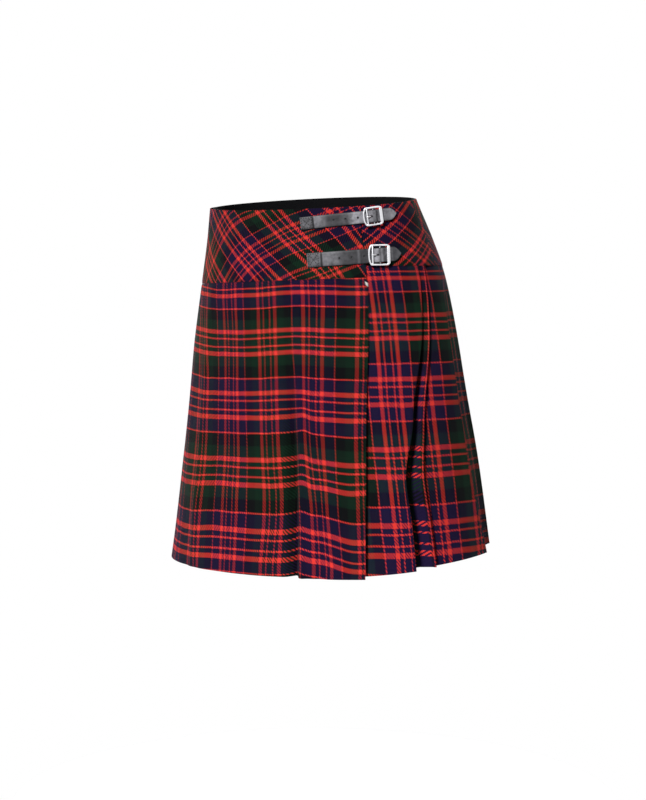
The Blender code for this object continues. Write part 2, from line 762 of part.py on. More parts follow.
def make_chape(strap, matrix, leather, bar_along):
    """The leather tab that wraps the centre bar and is sewn down under the strap's tip."""
    name, rate = strap[0], strap_line(strap)[2]
    thick = CHAPE_LEATHER
    reach = CENTRE_BAR_WIDTH / 2 + WRAP_ROOM + thick / 2
    middle = bar_middle()
    base = CHAPE_LIFT + thick / 2
    half = strap[5] / 2 - CHAPE_MARGIN
    route = [(CHAPE_LENGTH, base), (CHAPE_LENGTH * CHAPE_MIDDLE, base), (bar_along + CHAPE_BEND, base)]
    sewn = len(route)
    for degrees in (270, 225, 180, 135, 90):
        angle = math.radians(degrees)
        route.append((bar_along + reach * math.cos(angle), middle + reach * math.sin(angle)))
    points = []
    for side in (-1, 1):
        for index, (x, z) in enumerate(route):
            before, after = route[max(index - 1, 0)], route[min(index + 1, len(route) - 1)]
            run, rise = after[0] - before[0], after[1] - before[1]
            length = math.hypot(run, rise)
            normal = (rise / length * thick / 2, -run / length * thick / 2)
            for y in (-half, half):
                along, lift = x + side * normal[0], z + side * normal[1]
                if index < sewn:
                    points.append(strap_place(strap, strap[7] + along / rate, y, lift))
                else:
                    points.append(matrix @ Vector((along, y, lift)))
    count = len(route)
    faces = []
    for index in range(count - 1):
        inner, outer = 2 * index, 2 * (index + count)
        faces += [[inner, inner + 2, inner + 3, inner + 1], [outer, outer + 1, outer + 3, outer + 2],
                  [inner, outer, outer + 2, inner + 2], [inner + 1, inner + 3, outer + 3, outer + 1]]
    last_inner, last_outer = 2 * (count - 1), 2 * (2 * count - 1)
    faces += [[0, 1, 2 * count + 1, 2 * count],
              [last_inner, last_outer, last_outer + 1, last_inner + 1]]
    chape = add_object("chape_" + name, mesh_from("chape_" + name, points, faces), leather)
    bm = bmesh.new()
    bm.from_mesh(chape.data)
    bmesh.ops.recalc_face_normals(bm, faces=bm.faces)
    bm.to_mesh(chape.data)
    bm.free()
    smooth(chape, 40)
    left, right = bar_along - 2 * reach, bar_along - CENTRE_BAR_WIDTH / 4
    slot = [(left, -PRONG_SLOT), (right, -PRONG_SLOT), (right, PRONG_SLOT), (left, PRONG_SLOT)]
    cut_with(chape, extrude_outline("chape_slot_" + name, slot, base, middle + 2 * reach, matrix, leather))


def cut_prong_hole(strap, strap_body, leather):
    """The hole of the strap that the prong is in."""
    half = PRONG_RADIUS + PRONG_ROOM
    left, right = (along * strap[9] / PASS_WIDTH for along in PRONG_HOLE)
    outline = [(left, -half), (right, -half), (right, half), (left, half)]
    cut_with(strap_body, extrude_outline("prong_hole_" + strap[0], outline, STRAP_LEATHER,
                                         FRAME_LIFT + 2 * FRAME_THICK, buckle_matrix(strap), leather))


def main():
    clear_scene()
    cloth = make_material("worsted_tartan")
    lining = make_material("lining_twill")
    leather = make_material("strap_leather")
    chrome = make_material("chrome_plate")
    make_yokes(cloth)
    make_lining(lining)
    make_aprons(cloth)
    make_pleats(cloth)
    for strap in STRAPS:
        strap_body = make_strap(strap, leather)
        cut_prong_hole(strap, strap_body, leather)
        make_buckle(strap, chrome, leather)


main()
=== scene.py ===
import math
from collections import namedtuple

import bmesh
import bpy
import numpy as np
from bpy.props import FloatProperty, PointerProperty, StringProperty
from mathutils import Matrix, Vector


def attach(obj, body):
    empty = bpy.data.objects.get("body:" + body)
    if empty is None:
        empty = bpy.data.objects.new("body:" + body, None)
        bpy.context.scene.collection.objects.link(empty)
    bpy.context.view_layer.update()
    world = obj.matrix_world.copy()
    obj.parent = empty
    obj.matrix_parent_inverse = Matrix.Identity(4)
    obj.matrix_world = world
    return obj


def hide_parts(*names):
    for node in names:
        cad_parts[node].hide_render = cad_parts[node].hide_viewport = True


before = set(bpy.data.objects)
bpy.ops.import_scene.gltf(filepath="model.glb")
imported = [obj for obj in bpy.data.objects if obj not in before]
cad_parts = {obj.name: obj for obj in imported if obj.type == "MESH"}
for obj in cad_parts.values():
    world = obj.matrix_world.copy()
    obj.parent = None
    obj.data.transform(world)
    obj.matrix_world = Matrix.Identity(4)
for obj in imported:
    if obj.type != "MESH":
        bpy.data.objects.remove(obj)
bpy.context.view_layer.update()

# A kilt-style tartan mini skirt: its cloth, leather, chrome and stitching, laid out as an add-on.
#
# X points to the wearer's left, -Y to the wearer's front and Z up, in metres, with the waist at the
# origin.  A place on the garment is given by its turn (degrees round from the centre front towards
# the wearer's left), its drop below the waist and its lift outwards from the body form.  Each cloth
# piece is a thin shell with rounded folds and soft creases, and a UV map in metres of cloth, so that
# the woven check follows the grain of each piece.

BODY = "root"
CLOTH_MAP = "cloth"

bl_info = {
    "name": "Tartan mini skirt",
    "version": (1, 0, 0),
    "blender": (4, 5, 0),
    "location": "3D View > Sidebar > Skirt",
    "description": "Makes a kilt-style tartan mini skirt with leather straps and buckles",
    "category": "Object",
}

# Room for a cloth, the step out to the outer layer, and the gaps at seams and at the lining
CLOTH_ROOM = 0.0013
LAYER_GAP = 0.0006
LAYER = CLOTH_ROOM + LAYER_GAP
SEAM = 0.0003
LINING_ROOM = 0.0010
LINING_GAP = 0.0002
LINING_CLOTH = 0.0008

# Heights of the garment, as drops below the waist
RIM_FRONT = 0.0096
RIM_LEAN = 0.0020
OUTER_SEAM = 0.0945
OUTER_SEAM_LEAN = 0.0060
UNDER_SEAM = 0.0765
LINING_TOP = -0.0004
APRON_HEM = 0.4500
UNDER_HEM = 0.4450
PLEAT_HEM = 0.4318
PLEAT_HEM_LEAN = 0.0090
PLEAT_HEM_DIP = 0.0120

# Turns of the seams and hidden edges, in degrees.  The pleats start PLEAT_START in front of the
# free edge, and the outer yoke steps out over the under one from STEP_START to STEP_END.
LEFT_SIDE_SEAM = 89.0
RIGHT_SIDE_SEAM = 270.0
CENTRE_BACK = 180.0
UNDER_EDGE = -58.0
APRON_BACK_EDGE = -75.0
LAST_PLEAT = 296.0
PLEAT_START = 5.0
STEP_START = -88.0
STEP_END = -78.0

# Sections of the body form: drop, half width, half depth, set back.  It lies ASIDE of the middle,
# to the wearer's left.
SECTIONS = (
    (-0.020, 0.1280, 0.0930, -0.0080),
    (0.000, 0.1335, 0.0979, -0.0030),
    (0.045, 0.1462, 0.1086, 0.0130),
    (0.095, 0.1593, 0.1195, 0.0250),
    (0.170, 0.1727, 0.1305, 0.0320),
    (0.250, 0.1820, 0.1407, 0.0370),
    (0.330, 0.1918, 0.1510, 0.0420),
    (0.410, 0.2015, 0.1610, 0.0440),
    (0.470, 0.2095, 0.1700, 0.0440),
)
ASIDE = 0.0012

# Where lengths round the form are measured, as start, end and step, and the step along the hip seam
ARC_TURNS = (-90.0, 302.0, 2.0)
ARC_DROPS = (-0.02, 0.48, 0.02)
SEAM_TURN_STEP = 0.25

# The free front edge of the outer yoke and apron: drop, turn
FREE_EDGE = (
    (-0.010, 47.2),
    (0.000, 46.3),
    (0.035, 42.4),
    (0.055, 41.4),
    (0.095, 40.6),
    (0.237, 36.6),
    (0.356, 34.7),
    (0.460, 33.9),
)

# Fold edges of the three pleats at the wearer's left hip: drop, then a turn for each pleat
HIP_PLEATS = (
    (0.075, 72.0, 76.5, 93.0),
    (0.157, 65.7, 70.7, 87.0),
    (0.235, 57.7, 63.9, 86.8),
    (0.273, 55.4, 61.6, 87.2),
    (0.327, 50.8, 59.3, 87.6),
    (0.385, 51.9, 60.6, 91.5),
    (0.450, 52.7, 62.0, 97.0),
)
HIP_PLEAT_OPENING = (1.25, 0.35, 1.0)

# The pleats round the back, evenly spaced along the seam.  Their edges sway by up to BACK_SWAY
# degrees at the hem and their openings vary, with a phase that grows from pleat to pleat.
BACK_PLEATS = 11
BACK_SWAY = 2.6
BACK_SWAY_STEP = 2.4
BACK_OPENING_CHANGE = 0.25
LAST_OPENING = 0.3
PLEAT_GROUPS = (("pleats_left", 0, 4), ("pleats_back_left", 4, 7),
                ("pleats_back_right", 7, 10), ("pleats_right", 10, 14))

# A pleat at its seam and at the hem: radius of its fold edge and of its inner fold, and the lifts
# of the cloth under its start and of its returning layer
PLEAT_FOLD = (0.00085, 0.0021)
PLEAT_INNER_FOLD = (0.00085, 0.0015)
PLEAT_FLOOR = (-0.0034, -0.0055)
PLEAT_RETURN = (-0.0047, -0.0065)

# How far a fold edge stands out at the hem, and how far the layers under a face go back, as a share
# of it
PLEAT_FACE_RISE = 0.0045
PLEAT_DEPTH = 0.6

# Slow waves down a face: height, radians from seam to hem and radians from pleat to pleat
FACE_WAVE = (0.0007, 9.0, 2.1)

# A pleat's face: how far across it, how much risen to its fold edge, and the same where it starts
# from a hollow of DEEP_HOLLOW or more
DEEP_HOLLOW = 0.0060
FACE_SHAPE = (
    (0.00, 0.00, 0.00),
    (0.35, 0.45, 0.04),
    (0.70, 0.82, 0.25),
    (1.00, 1.00, 1.00),
)

# How deep the cloth lies behind a fold edge: drop, then behind the first, second and third hip
# pleat and behind a back pleat
HOLLOWS = (
    (0.070, 0.0000, 0.0000, 0.0000, 0.0000),
    (0.130, 0.0010, 0.0003, 0.0080, 0.0022),
    (0.190, 0.0040, 0.0010, 0.0100, 0.0030),
    (0.280, 0.0100, 0.0015, 0.0095, 0.0030),
    (0.370, 0.0120, 0.0015, 0.0070, 0.0025),
    (0.450, 0.0120, 0.0015, 0.0040, 0.0020),
)
BACK_HOLLOW_COLUMN = 4

# How far the fourth pleat lies in, fold edge and all: drop, distance
SETTLED_PLEAT = 3
SETTLED = (
    (0.070, 0.0000),
    (0.120, 0.0012),
    (0.160, 0.0018),
    (0.200, 0.0020),
    (0.250, 0.0010),
    (0.300, 0.0000),
    (0.450, 0.0000),
)

# Soft folds of the aprons at the hem: how far the outer one stands out, its trough and its ridge,
# which leans between two turns and drops, and how far the under one sinks in
APRON_LIFT = 0.0030
TROUGH_TURN = 6.5
TROUGH_DEPTH = 0.0042
TROUGH_WIDTH = 6.0
RIDGE_TURNS = (-58.0, -33.0)
RIDGE_DROPS = (0.240, 0.420)
RIDGE_HEIGHT = 0.0020
RIDGE_WIDTH = 6.5
UNDER_SINK = 0.0085

# Straps: the stitched end and the tip, the turns of the holes, and the buckle's turn, tilt and size
Strap = namedtuple("Strap", "name start_turn start_drop tip_turn tip_drop width holes"
                            " buckle_turn tilt buckle_width buckle_height")
STRAPS = (
    Strap("upper", 12.6, 0.0263, 67.1, 0.0135, 0.0150, (29.5, 35.7, 42.4),
          50.9, 8.5, 0.0250, 0.0225),
    Strap("lower", 14.2, 0.0703, 61.6, 0.0615, 0.0175, (29.1, 35.0, 41.1),
          48.7, 1.0, 0.0275, 0.0255),
)

# How much painted sheen each strap has: share of its length, share of the pale colour, which stands
# in for light on the glaze.  The two stops of 0 lie in the crease beside the stitched box, painted
# shade.
STRAP_PAINTED_SHEEN = {
    "upper": ((0.0, 0.31), (0.105, 0.34), (0.112, 0.0), (0.122, 0.0), (0.130, 0.56), (0.19, 0.42),
              (0.26, 0.12), (0.34, 0.11), (0.44, 0.24), (0.50, 1.00), (0.60, 0.78), (0.70, 0.45),
              (0.80, 0.55), (0.93, 0.75)),
    "lower": ((0.0, 0.27), (0.125, 0.31), (0.134, 0.0), (0.145, 0.0), (0.153, 0.40), (0.28, 0.36),
              (0.36, 0.12), (0.49, 0.09), (0.51, 0.31), (0.53, 0.07), (0.60, 0.12), (0.70, 0.80),
              (0.735, 0.25), (0.77, 0.95), (0.795, 0.18), (0.84, 0.80), (0.90, 0.14), (1.0, 0.25)),
}

# A strap's leather, how it narrows over its tip, and its steps before the buckle, where it passes
# the buckle, after it and over the tip
STRAP_LEATHER = 0.0014
STRAP_TIP = 0.0110
TIP_NARROWING = 0.96
TIP_POWER = 1.8
STRAP_STEPS = (18, 40, 3, 12)
STRAP_TURN_STEP = 0.5

# The punched holes: radius, sides, the leather left under them as a dark floor that stands in for
# the shade down the holes, and the punch's direction and length
HOLE_RADIUS = 0.0012
HOLE_SIDES = 20
HOLE_SHADE_FLOOR = 0.0003
PUNCH_AIM = 0.010
PUNCH_LENGTH = 0.012

# The strap's section: share of its half width, and of its thickness, round from the lower edge
STRAP_SECTION = (
    (1.00, 0.30), (1.00, 0.62), (0.975, 0.86), (0.93, 1.00), (0.60, 1.02), (0.0, 1.03),
    (-0.60, 1.02), (-0.93, 1.00), (-0.975, 0.86), (-1.00, 0.62), (-1.00, 0.30), (-0.96, 0.06),
    (-0.88, 0.00), (0.0, 0.00), (0.88, 0.00), (0.96, 0.06),
)

# The strap's lift where it passes a buckle of PASS_WIDTH: along from the buckle's middle, lift
PASS_WIDTH = 0.0275
BUCKLE_PASS = (
    (-0.0178, 0.00350),
    (-0.0142, 0.00275),
    (-0.0072, 0.00240),
    (-0.0052, 0.00370),
    (-0.0012, 0.00650),
    (0.0034, 0.00650),
    (0.0076, 0.00330),
    (0.0094, 0.00275),
)

# Buckle frame: lift and thickness, width of the rails, of the wide right bar and of the two others,
# the slot between these, the corners' radius and how far the left side bows out
FRAME_LIFT = 0.0046
FRAME_THICK = 0.0021
RAIL = 0.0022
THICK_BAR = 0.0042
THIN_BAR = 0.0020
SLOT = 0.0019
CORNER = 0.0035
BOW = 0.0016

# Share of the bow at the slot and of a rail's width that a bar's end keeps clear, how the metal's
# width grows along the frame and how far from the corners' middles it goes over into the rails, and
# the powers that square its section
SLOT_BOW = 0.6
BAR_INSET = 0.6
BAR_GROWTH = (1.6, 0.5)
RAIL_REACH = 1.1
FRAME_ROUNDING = (0.7, 0.8)

# Steps of a buckle's metal and of the turns and drops that its plane is found from
METAL_SIDES = 12
RING_STEPS = 8
DOME_STEPS = 4
DOME_TIP = 0.15
BUCKLE_TURN_STEP = 1.0
BUCKLE_DROP_STEP = 0.004

# Centre bar
CENTRE_BAR_ALONG = 0.0012
CENTRE_BAR_WIDTH = 0.0014
CENTRE_BAR_HEIGHT = 0.0010
CENTRE_BAR_DROP = 0.0006
BAR_MIDDLE = FRAME_LIFT - CENTRE_BAR_DROP + CENTRE_BAR_HEIGHT / 2

# Prong: its radius, the slot in the strap, how it tapers, and its line over the second bar, as
# places along from that bar's middle and up
PRONG_RADIUS = 0.0006
PRONG_ROOM = 0.0005
PRONG_HOLE = (-0.0058, -0.0008)
PRONG_STEPS = 6
PRONG_TAPER = 0.25
PRONG_TIP_START = 0.9
PRONG_TIP = 0.04
PRONG_LINE = ((0.0030, 0.0002), (0.0, 0.0), (-THIN_BAR * 0.9, -0.0001))

# Chape: its leather, the part that is sewn down, the part that wraps the centre bar, the slot for
# the prong, and its section as shares of its half width and half thickness
CHAPE_LEATHER = 0.0007
CHAPE_LENGTH = 0.0230
CHAPE_MARGIN = 0.0010
CHAPE_LIFT = 0.0016
CHAPE_STEPS = 10
CHAPE_WRAP_START = 0.005
CHAPE_WRAP_DEGREES = range(270, 89, -15)
WRAP_ROOM = 0.00035
CHAPE_SLOT = 0.0016
CHAPE_SECTION = ((0.97, 1.0), (-0.97, 1.0), (-1.0, 0.6), (-1.0, -0.6),
                 (-0.97, -1.0), (0.97, -1.0), (1.0, -0.6), (1.0, 0.6))

# The stitched box at a strap's square end: its length, margin and lift as a share of the leather,
# the points of each of its lines, and the pitch and thickness of its stitches
BOX_LENGTH = 0.0125
BOX_MARGIN = 0.0016
BOX_LIFT = 1.02
BOX_STEPS = 8
BOX_PITCH = 0.0026
BOX_THREAD = 0.0012

# The tack of white thread: how many lines, the drop of the first and the spacing, their lifts in
# turn and how they spread; a line's turn, drop and lift from the free edge at each of its points;
# and the length, pitch and thickness of its stitches
TACK_LINES = 6
TACK_DROP = 0.0962
TACK_SPACING = 0.0007
TACK_LIFTS = (0.0002, 0.0006)
TACK_SPREAD = 0.2
TACK_LINE = ((-0.9, 0.0, 0.0), (-0.3, 0.0008, 0.0005), (0.1, 0.0014, -0.0004))
TACK_STITCHES = (0.0022, 0.0009, 0.0007)

# The check: half of its repeat, the share of its colour that a thread keeps over dark ones, and how
# the weft's half repeats lie down the aprons and the pleats, as the drop of half repeat 0, the step
# to the next and the growth of that step
HALF_REPEAT = 0.0646
WARP_OVER_DARK = 0.44
BIAS_WARP_OVER_DARK = 0.62
# The pleats keep more of their threads' colour than the aprons, which brightens them: painted light,
# for light that the lamps give the pleats too little of
PLEAT_BRIGHTENED_WARP_OVER_DARK = 0.85
WEFT_OVER_DARK = 0.92
APRON_WEFT = (0.1698, 0.0735, 0.0025)
PLEAT_WEFT = (0.1497, 0.0745, 0.0035)
APRON_WARP_START = 0.0010

# The warp on the first and third hip pleats leans away from the free edge: distance, at a drop, lean
FIRST_PLEAT_WARP = (0.0163, 0.108, 0.108)
THIRD_PLEAT_WARP = (0.0880, 0.108, 0.140)

# The thin red line in a half repeat, and its mirror image in the next one
RED_LINE = 0.575
NEXT_RED_LINE = 1.425

# The second pleat's face slopes steeply into its hollow, so its check is measured along the slope,
# and starts in a green ground
STEEP_PLEAT = 1
STEEP_PLEAT_START = 0.225
SECOND_PLEAT_EDGE = 0.584
THIRD_PLEAT_SCALE = 0.80

# From the fourth pleat on, the warp at a fold edge goes on by the same step, in half repeats
PLEAT_WARP_START = 2.0
PLEAT_WARP_STEP = 1.712

# Half the sett, from the middle of a green ground (0) to the middle of a blue one (1)
SETT = (
    (0.0000, "green"),
    (0.0530, "red"),
    (0.0790, "green"),
    (0.1470, "red"),
    (0.2170, "green"),
    (0.3850, "black"),
    (0.5630, "red"),
    (0.5890, "navy"),
    (0.7740, "red"),
    (0.8460, "navy"),
    (0.9140, "red"),
    (0.9400, "navy"),
)

# Bias cut of the outer yoke: the slope of its falling lines away from the free edge and at it, and
# over what distance it changes; the distance from the edge and the drop of one of them, and their
# spacing; the spacing of the rising lines near the edge and away from it, where it starts to change
# and over what distance it does so
YOKE_SLANT = (0.97, 0.66, 0.060)
YOKE_FALLING_LINE = (0.1756, 0.040, 0.090)
YOKE_SPREAD = (0.0546, 0.0760, 0.120, 0.080)

# The under yoke's rising and falling red lines: place in the check, distance round from
# UNDER_YOKE_TURN and drop there, slope and spacing
UNDER_YOKE_TURN = 38.0
UNDER_YOKE_LINES = (
    (NEXT_RED_LINE, 0.070, 0.030, -0.72, 0.072),
    (RED_LINE, 0.086, 0.0255, 0.68, 0.070),
)
BACK_YOKE_SHIFT = 0.3

# The outer yoke's rising red line: distance from the free edge, then its drop there
YOKE_RISING_LINE = (
    (-0.0100, -0.0190),
    (0.0070, -0.0130),
    (0.0370, -0.0010),
    (0.0650, 0.0090),
    (0.0910, 0.0180),
    (0.1130, 0.0280),
    (0.1370, 0.0380),
    (0.1530, 0.0450),
    (0.1710, 0.0560),
    (0.1830, 0.0660),
    (0.1970, 0.0790),
    (0.2600, 0.1420),
    (0.4200, 0.3020),
)

# Soft creases: piece, start turn and drop, end turn and drop, width, then the height at the start,
# in the middle and at the end (troughs are below 0).  They reach CREASE_REACH widths out.
CREASE_REACH = 3.0
CREASES = (
    ("apron_outer", 5.8, 0.180, 8.9, 0.450, 0.0062, 0.0000, -0.0160, -0.0180),
    ("apron_outer", 9.4, 0.200, 12.4, 0.450, 0.0046, 0.0000, 0.0034, 0.0042),
    ("apron_outer", 17.5, 0.300, 19.0, 0.450, 0.0070, 0.0000, -0.0010, -0.0024),
    ("apron_outer", -42.0, 0.110, -36.0, 0.450, 0.0080, 0.0010, 0.0018, 0.0022),
    ("apron_outer", -20.0, 0.240, -14.0, 0.450, 0.0200, 0.0002, 0.0012, 0.0008),
    ("apron_outer", -44.0, 0.330, -38.0, 0.450, 0.0140, -0.0003, -0.0012, -0.0014),
    ("apron_outer", 27.0, 0.290, 24.0, 0.450, 0.0180, 0.0002, 0.0008, 0.0010),
    ("apron_outer", -60.0, 0.110, -66.0, 0.300, 0.0160, -0.0003, -0.0010, -0.0003),
    ("apron_outer", 20.0, 0.105, 8.0, 0.150, 0.0100, -0.0006, -0.0005, -0.0001),
    ("apron_outer", 36.0, 0.100, 30.0, 0.190, 0.0110, -0.0003, -0.0006, -0.0001),
    ("yoke_front", 36.0, 0.012, 30.0, 0.052, 0.0080, -0.0003, -0.0005, -0.0002),
    ("yoke_front", 12.0, 0.030, -12.0, 0.050, 0.0120, -0.0004, -0.0005, -0.0001),
    ("yoke_front", 13.0, 0.072, -16.0, 0.078, 0.0100, 0.0004, 0.0004, 0.0001),
    ("yoke_front", -52.0, 0.020, -60.0, 0.090, 0.0140, -0.0002, -0.0006, -0.0003),
    ("yoke_front", -34.0, 0.060, -22.0, 0.094, 0.0120, 0.0001, 0.0005, 0.0003),
    ("yoke_under", 70.0, 0.020, 84.0, 0.060, 0.0100, -0.0001, -0.0004, -0.0001),
    ("yoke_back", 118.0, 0.015, 134.0, 0.080, 0.0140, -0.0002, -0.0007, -0.0004),
    ("yoke_back", 156.0, 0.030, 176.0, 0.046, 0.0120, 0.0001, 0.0006, 0.0002),
    ("yoke_back", 188.0, 0.060, 214.0, 0.052, 0.0130, -0.0002, -0.0006, -0.0002),
    ("yoke_back", 232.0, 0.014, 244.0, 0.080, 0.0150, -0.0003, -0.0007, -0.0002),
    ("apron_under", -30.0, 0.150, -22.0, 0.440, 0.0200, -0.0002, -0.0012, -0.0010),
    ("apron_under", 6.2, 0.175, 9.4, 0.445, 0.0190, 0.0000, -0.0150, -0.0160),
)

# The apron's free corner sags: the turns over which it starts and ends, the drops likewise, and how
# far the check has slid down there.  Beside its trough it is drawn up.
SAG_TURNS = (14.0, 31.0)
SAG_DROPS = (0.225, 0.430)
SAG = 0.0157
DRAWN_UP_START = 0.190
DRAWN_UP_REACH = 0.120
DRAWN_UP_TURN = 11.6
DRAWN_UP_WIDTH = 2.8
DRAWN_UP = 0.0050

# The dip along a seam
SEAM_GROOVE = 0.0006
SEAM_GROOVE_WIDTH = 0.0022

# How far the outer apron's check lies round from its plain lie, in degrees: turn, then the value at
# each drop of SHIFT_DROPS.  The cloth has slid towards the trough.
SHIFT_DROPS = (0.120, 0.165, 0.220, 0.300, 0.370, 0.435, 0.452)
SLID_ROUND = (
    (-62.0, 3.7, 5.0, 8.0, 7.5, 4.0, 2.0, 2.0),
    (-48.0, 3.7, 6.0, 8.3, 7.9, 5.0, 3.2, 3.2),
    (-36.0, 3.8, 5.6, 8.0, 8.0, 5.6, 4.4, 4.4),
    (-24.0, 3.0, 4.6, 6.2, 7.2, 5.9, 5.4, 5.4),
    (-12.0, 1.2, 2.0, 3.6, 5.6, 5.4, 4.6, 4.6),
    (0.0, 1.0, 1.4, 2.5, 3.6, 5.0, 3.6, 3.6),
    (8.0, 0.0, 0.1, 1.7, 3.3, 4.2, 3.8, 3.8),
    (14.0, -0.2, -0.1, 0.3, 1.6, 4.3, 4.8, 4.8),
    (22.0, 0.0, -0.3, 0.1, 0.9, 2.3, 4.2, 4.2),
    (36.0, 0.3, 0.0, 0.3, 0.3, 0.8, 0.9, 0.9),
)

# How far it lies down from its plain lie, in millimetres, in the same way
SLID_DOWN = (
    (-62.0, -1.0, -1.0, 0.0, 4.0, 5.5, 5.0, 2.0),
    (-48.0, 1.0, 0.5, 1.4, 4.0, 6.5, 6.5, 3.0),
    (-36.0, 2.8, 2.0, 2.8, 3.6, 5.0, 6.0, 2.5),
    (-24.0, 1.9, 1.7, 1.8, 1.7, 1.2, 3.0, -1.5),
    (-12.0, 0.7, 0.9, 1.1, 0.9, 0.7, 1.4, -3.5),
    (0.0, -2.0, -2.0, -1.4, -0.7, 0.2, 1.2, -4.0),
    (8.0, -3.0, -3.2, -3.0, -2.2, -1.4, 0.4, -4.5),
    (14.0, -3.2, -3.1, -1.9, -0.7, -0.5, 0.0, -4.5),
    (22.0, -2.9, -2.2, -0.8, -1.6, -3.0, -4.3, -6.0),
    (36.0, -2.1, -1.1, 0.4, -3.3, -4.4, -3.6, -6.0),
)
MILLIMETRE = 0.001

# The lining's foot stands in over the tops of the pleats: the turns where they start and end, over
# how many degrees it does so, how far it stands in, over what drop and how far it laps over them
LINED_PLEATS = (46.0, 298.0)
LINED_BLEND = 12.0
LINING_FLARE = 0.0060
LINING_FLARE_DROP = 0.0110
LINING_LAP = 0.0015

# Spacing of the points along the cloth and down it, the lining's points round and down, and the turn
# and drop whose length of a degree its map has all round
CELL = 0.0030
PLEAT_FACE_STEPS = 16
PLEAT_LAYER_STEPS = 9
FOLD_STEPS = 8
LINING_COLUMNS = 240
LINING_ROWS = 40
LINING_MAP_AT = (45.0, 0.03)

# Angles past which an edge stays sharp, in degrees
CLOTH_SHARP = 42
LEATHER_SHARP = 40
METAL_SHARP = 50

# The floor's rings and the sides of each
FLOOR_RADII = (0.1, 0.2, 0.3, 0.38)
FLOOR_SIDES = 64

# Soft lights: name, azimuth and elevation in degrees, strength, spread in degrees
LIGHTS = (
    ("front_panel", 3.0, 30.0, 4.80, 12.0),
    ("left_panel", -80.0, 12.0, 0.30, 40.0),
    ("back_left_panel", 172.0, 18.0, 1.70, 36.0),
    ("back_right_panel", -125.0, 18.0, 1.20, 36.0),
    ("overhead_panel", 0.0, 90.0, 1.2, 60.0),
)
LIGHT_DISTANCE = 3.0
FILL_STRENGTH = 0.07

CAMERA_AZIMUTH = 27.0
CAMERA_ELEVATION = 3.5
CAMERA_DISTANCE = 2.65
CAMERA_TARGET = (0.0, 0.020, -0.225)
CAMERA_LENS = 94.6
CAMERA_SHIFT = (0.0019, -0.0211)
CAMERA_CLIP = 60.0


def mix(start, end, share):
    return start + (end - start) * share


def clamp(share):
    return min(max(share, 0.0), 1.0)


def share_between(value, start, end):
    return (value - start) / (end - start)


def ease(share):
    share = clamp(share)
    return share * share * (3.0 - 2.0 * share)


def read_curve(table, column, where):
    """A smooth curve through one column of a table, read at a place in its first column."""
    last = len(table) - 1
    index = 0
    while index < last - 1 and where > table[index + 1][0]:
        index += 1

    def slope(row):
        low, high = max(row - 1, 0), min(row + 1, last)
        return (table[high][column] - table[low][column]) / (table[high][0] - table[low][0])

    left, right = table[index], table[index + 1]
    span = right[0] - left[0]
    share = clamp((where - left[0]) / span)
    square, cube = share * share, share * share * share
    return ((2 * cube - 3 * square + 1) * left[column]
            + (cube - 2 * square + share) * span * slope(index)
            + (3 * square - 2 * cube) * right[column]
            + (cube - square) * span * slope(index + 1))


def place(turn, drop, lift):
    """The point at a turn, drop and lift, moved out level from the body form."""
    half_width, half_depth, set_back = (read_curve(SECTIONS, column, drop) for column in (1, 2, 3))
    angle = math.radians(turn)
    sine, cosine = math.sin(angle), math.cos(angle)
    out = Vector((half_depth * sine, -half_width * cosine, 0.0)).normalized()
    return Vector((ASIDE + half_width * sine, set_back - half_depth * cosine, -drop)) + out * lift


def metres_per_degree(turn, drop):
    angle = math.radians(turn)
    half_width, half_depth = (read_curve(SECTIONS, column, drop) for column in (1, 2))
    return math.radians(math.hypot(half_width * math.cos(angle), half_depth * math.sin(angle)))


def rim_drop(turn):
    angle = math.radians(turn)
    return RIM_FRONT * math.cos(angle) - RIM_LEAN * math.sin(angle)


def outer_seam_drop(turn):
    return OUTER_SEAM - OUTER_SEAM_LEAN * math.sin(math.radians(turn))


def under_seam_drop(turn):
    """The hip seam under the outer yoke, round the back and on to the wearer's right side."""
    if turn > RIGHT_SIDE_SEAM:
        return outer_seam_drop(turn)
    share = share_between(turn, LEFT_SIDE_SEAM, RIGHT_SIDE_SEAM)
    return mix(UNDER_SEAM, outer_seam_drop(RIGHT_SIDE_SEAM), ease(share))


def pleat_hem_drop(turn):
    """The pleats' hem, which dips towards the free edge of the apron."""
    forward = math.cos(math.radians(turn))
    return PLEAT_HEM + PLEAT_HEM_LEAN * forward + PLEAT_HEM_DIP * max(forward, 0.0) ** 2


def free_edge(drop):
    return read_curve(FREE_EDGE, 1, drop)


def fall(drop):
    """How far down the skirt a place is: 0 at the hip seam, 1 at the hem."""
    return clamp(share_between(drop, UNDER_SEAM, APRON_HEM))


def under_lift(drop):
    return CLOTH_ROOM / 2 - UNDER_SINK * ease(fall(drop))


def hump(turn, middle, width):
    return math.exp(-((turn - middle) / width) ** 2)


def apron_lift(turn, drop):
    """The outer apron's lift, with the trough at its front and the ridge towards its right."""
    open_share = ease(fall(drop))
    lift = CLOTH_ROOM / 2 + LAYER + APRON_LIFT * open_share
    lift -= TROUGH_DEPTH * open_share * hump(turn, TROUGH_TURN, TROUGH_WIDTH)
    ridge_turn = mix(*RIDGE_TURNS, share_between(drop, *RIDGE_DROPS))
    return lift + RIDGE_HEIGHT * open_share * hump(turn, ridge_turn, RIDGE_WIDTH)


def outer_lift(turn):
    """The outer yoke steps out over the edge of the under yoke, near its right side seam."""
    return CLOTH_ROOM / 2 + LAYER * ease(share_between(turn, STEP_START, STEP_END))


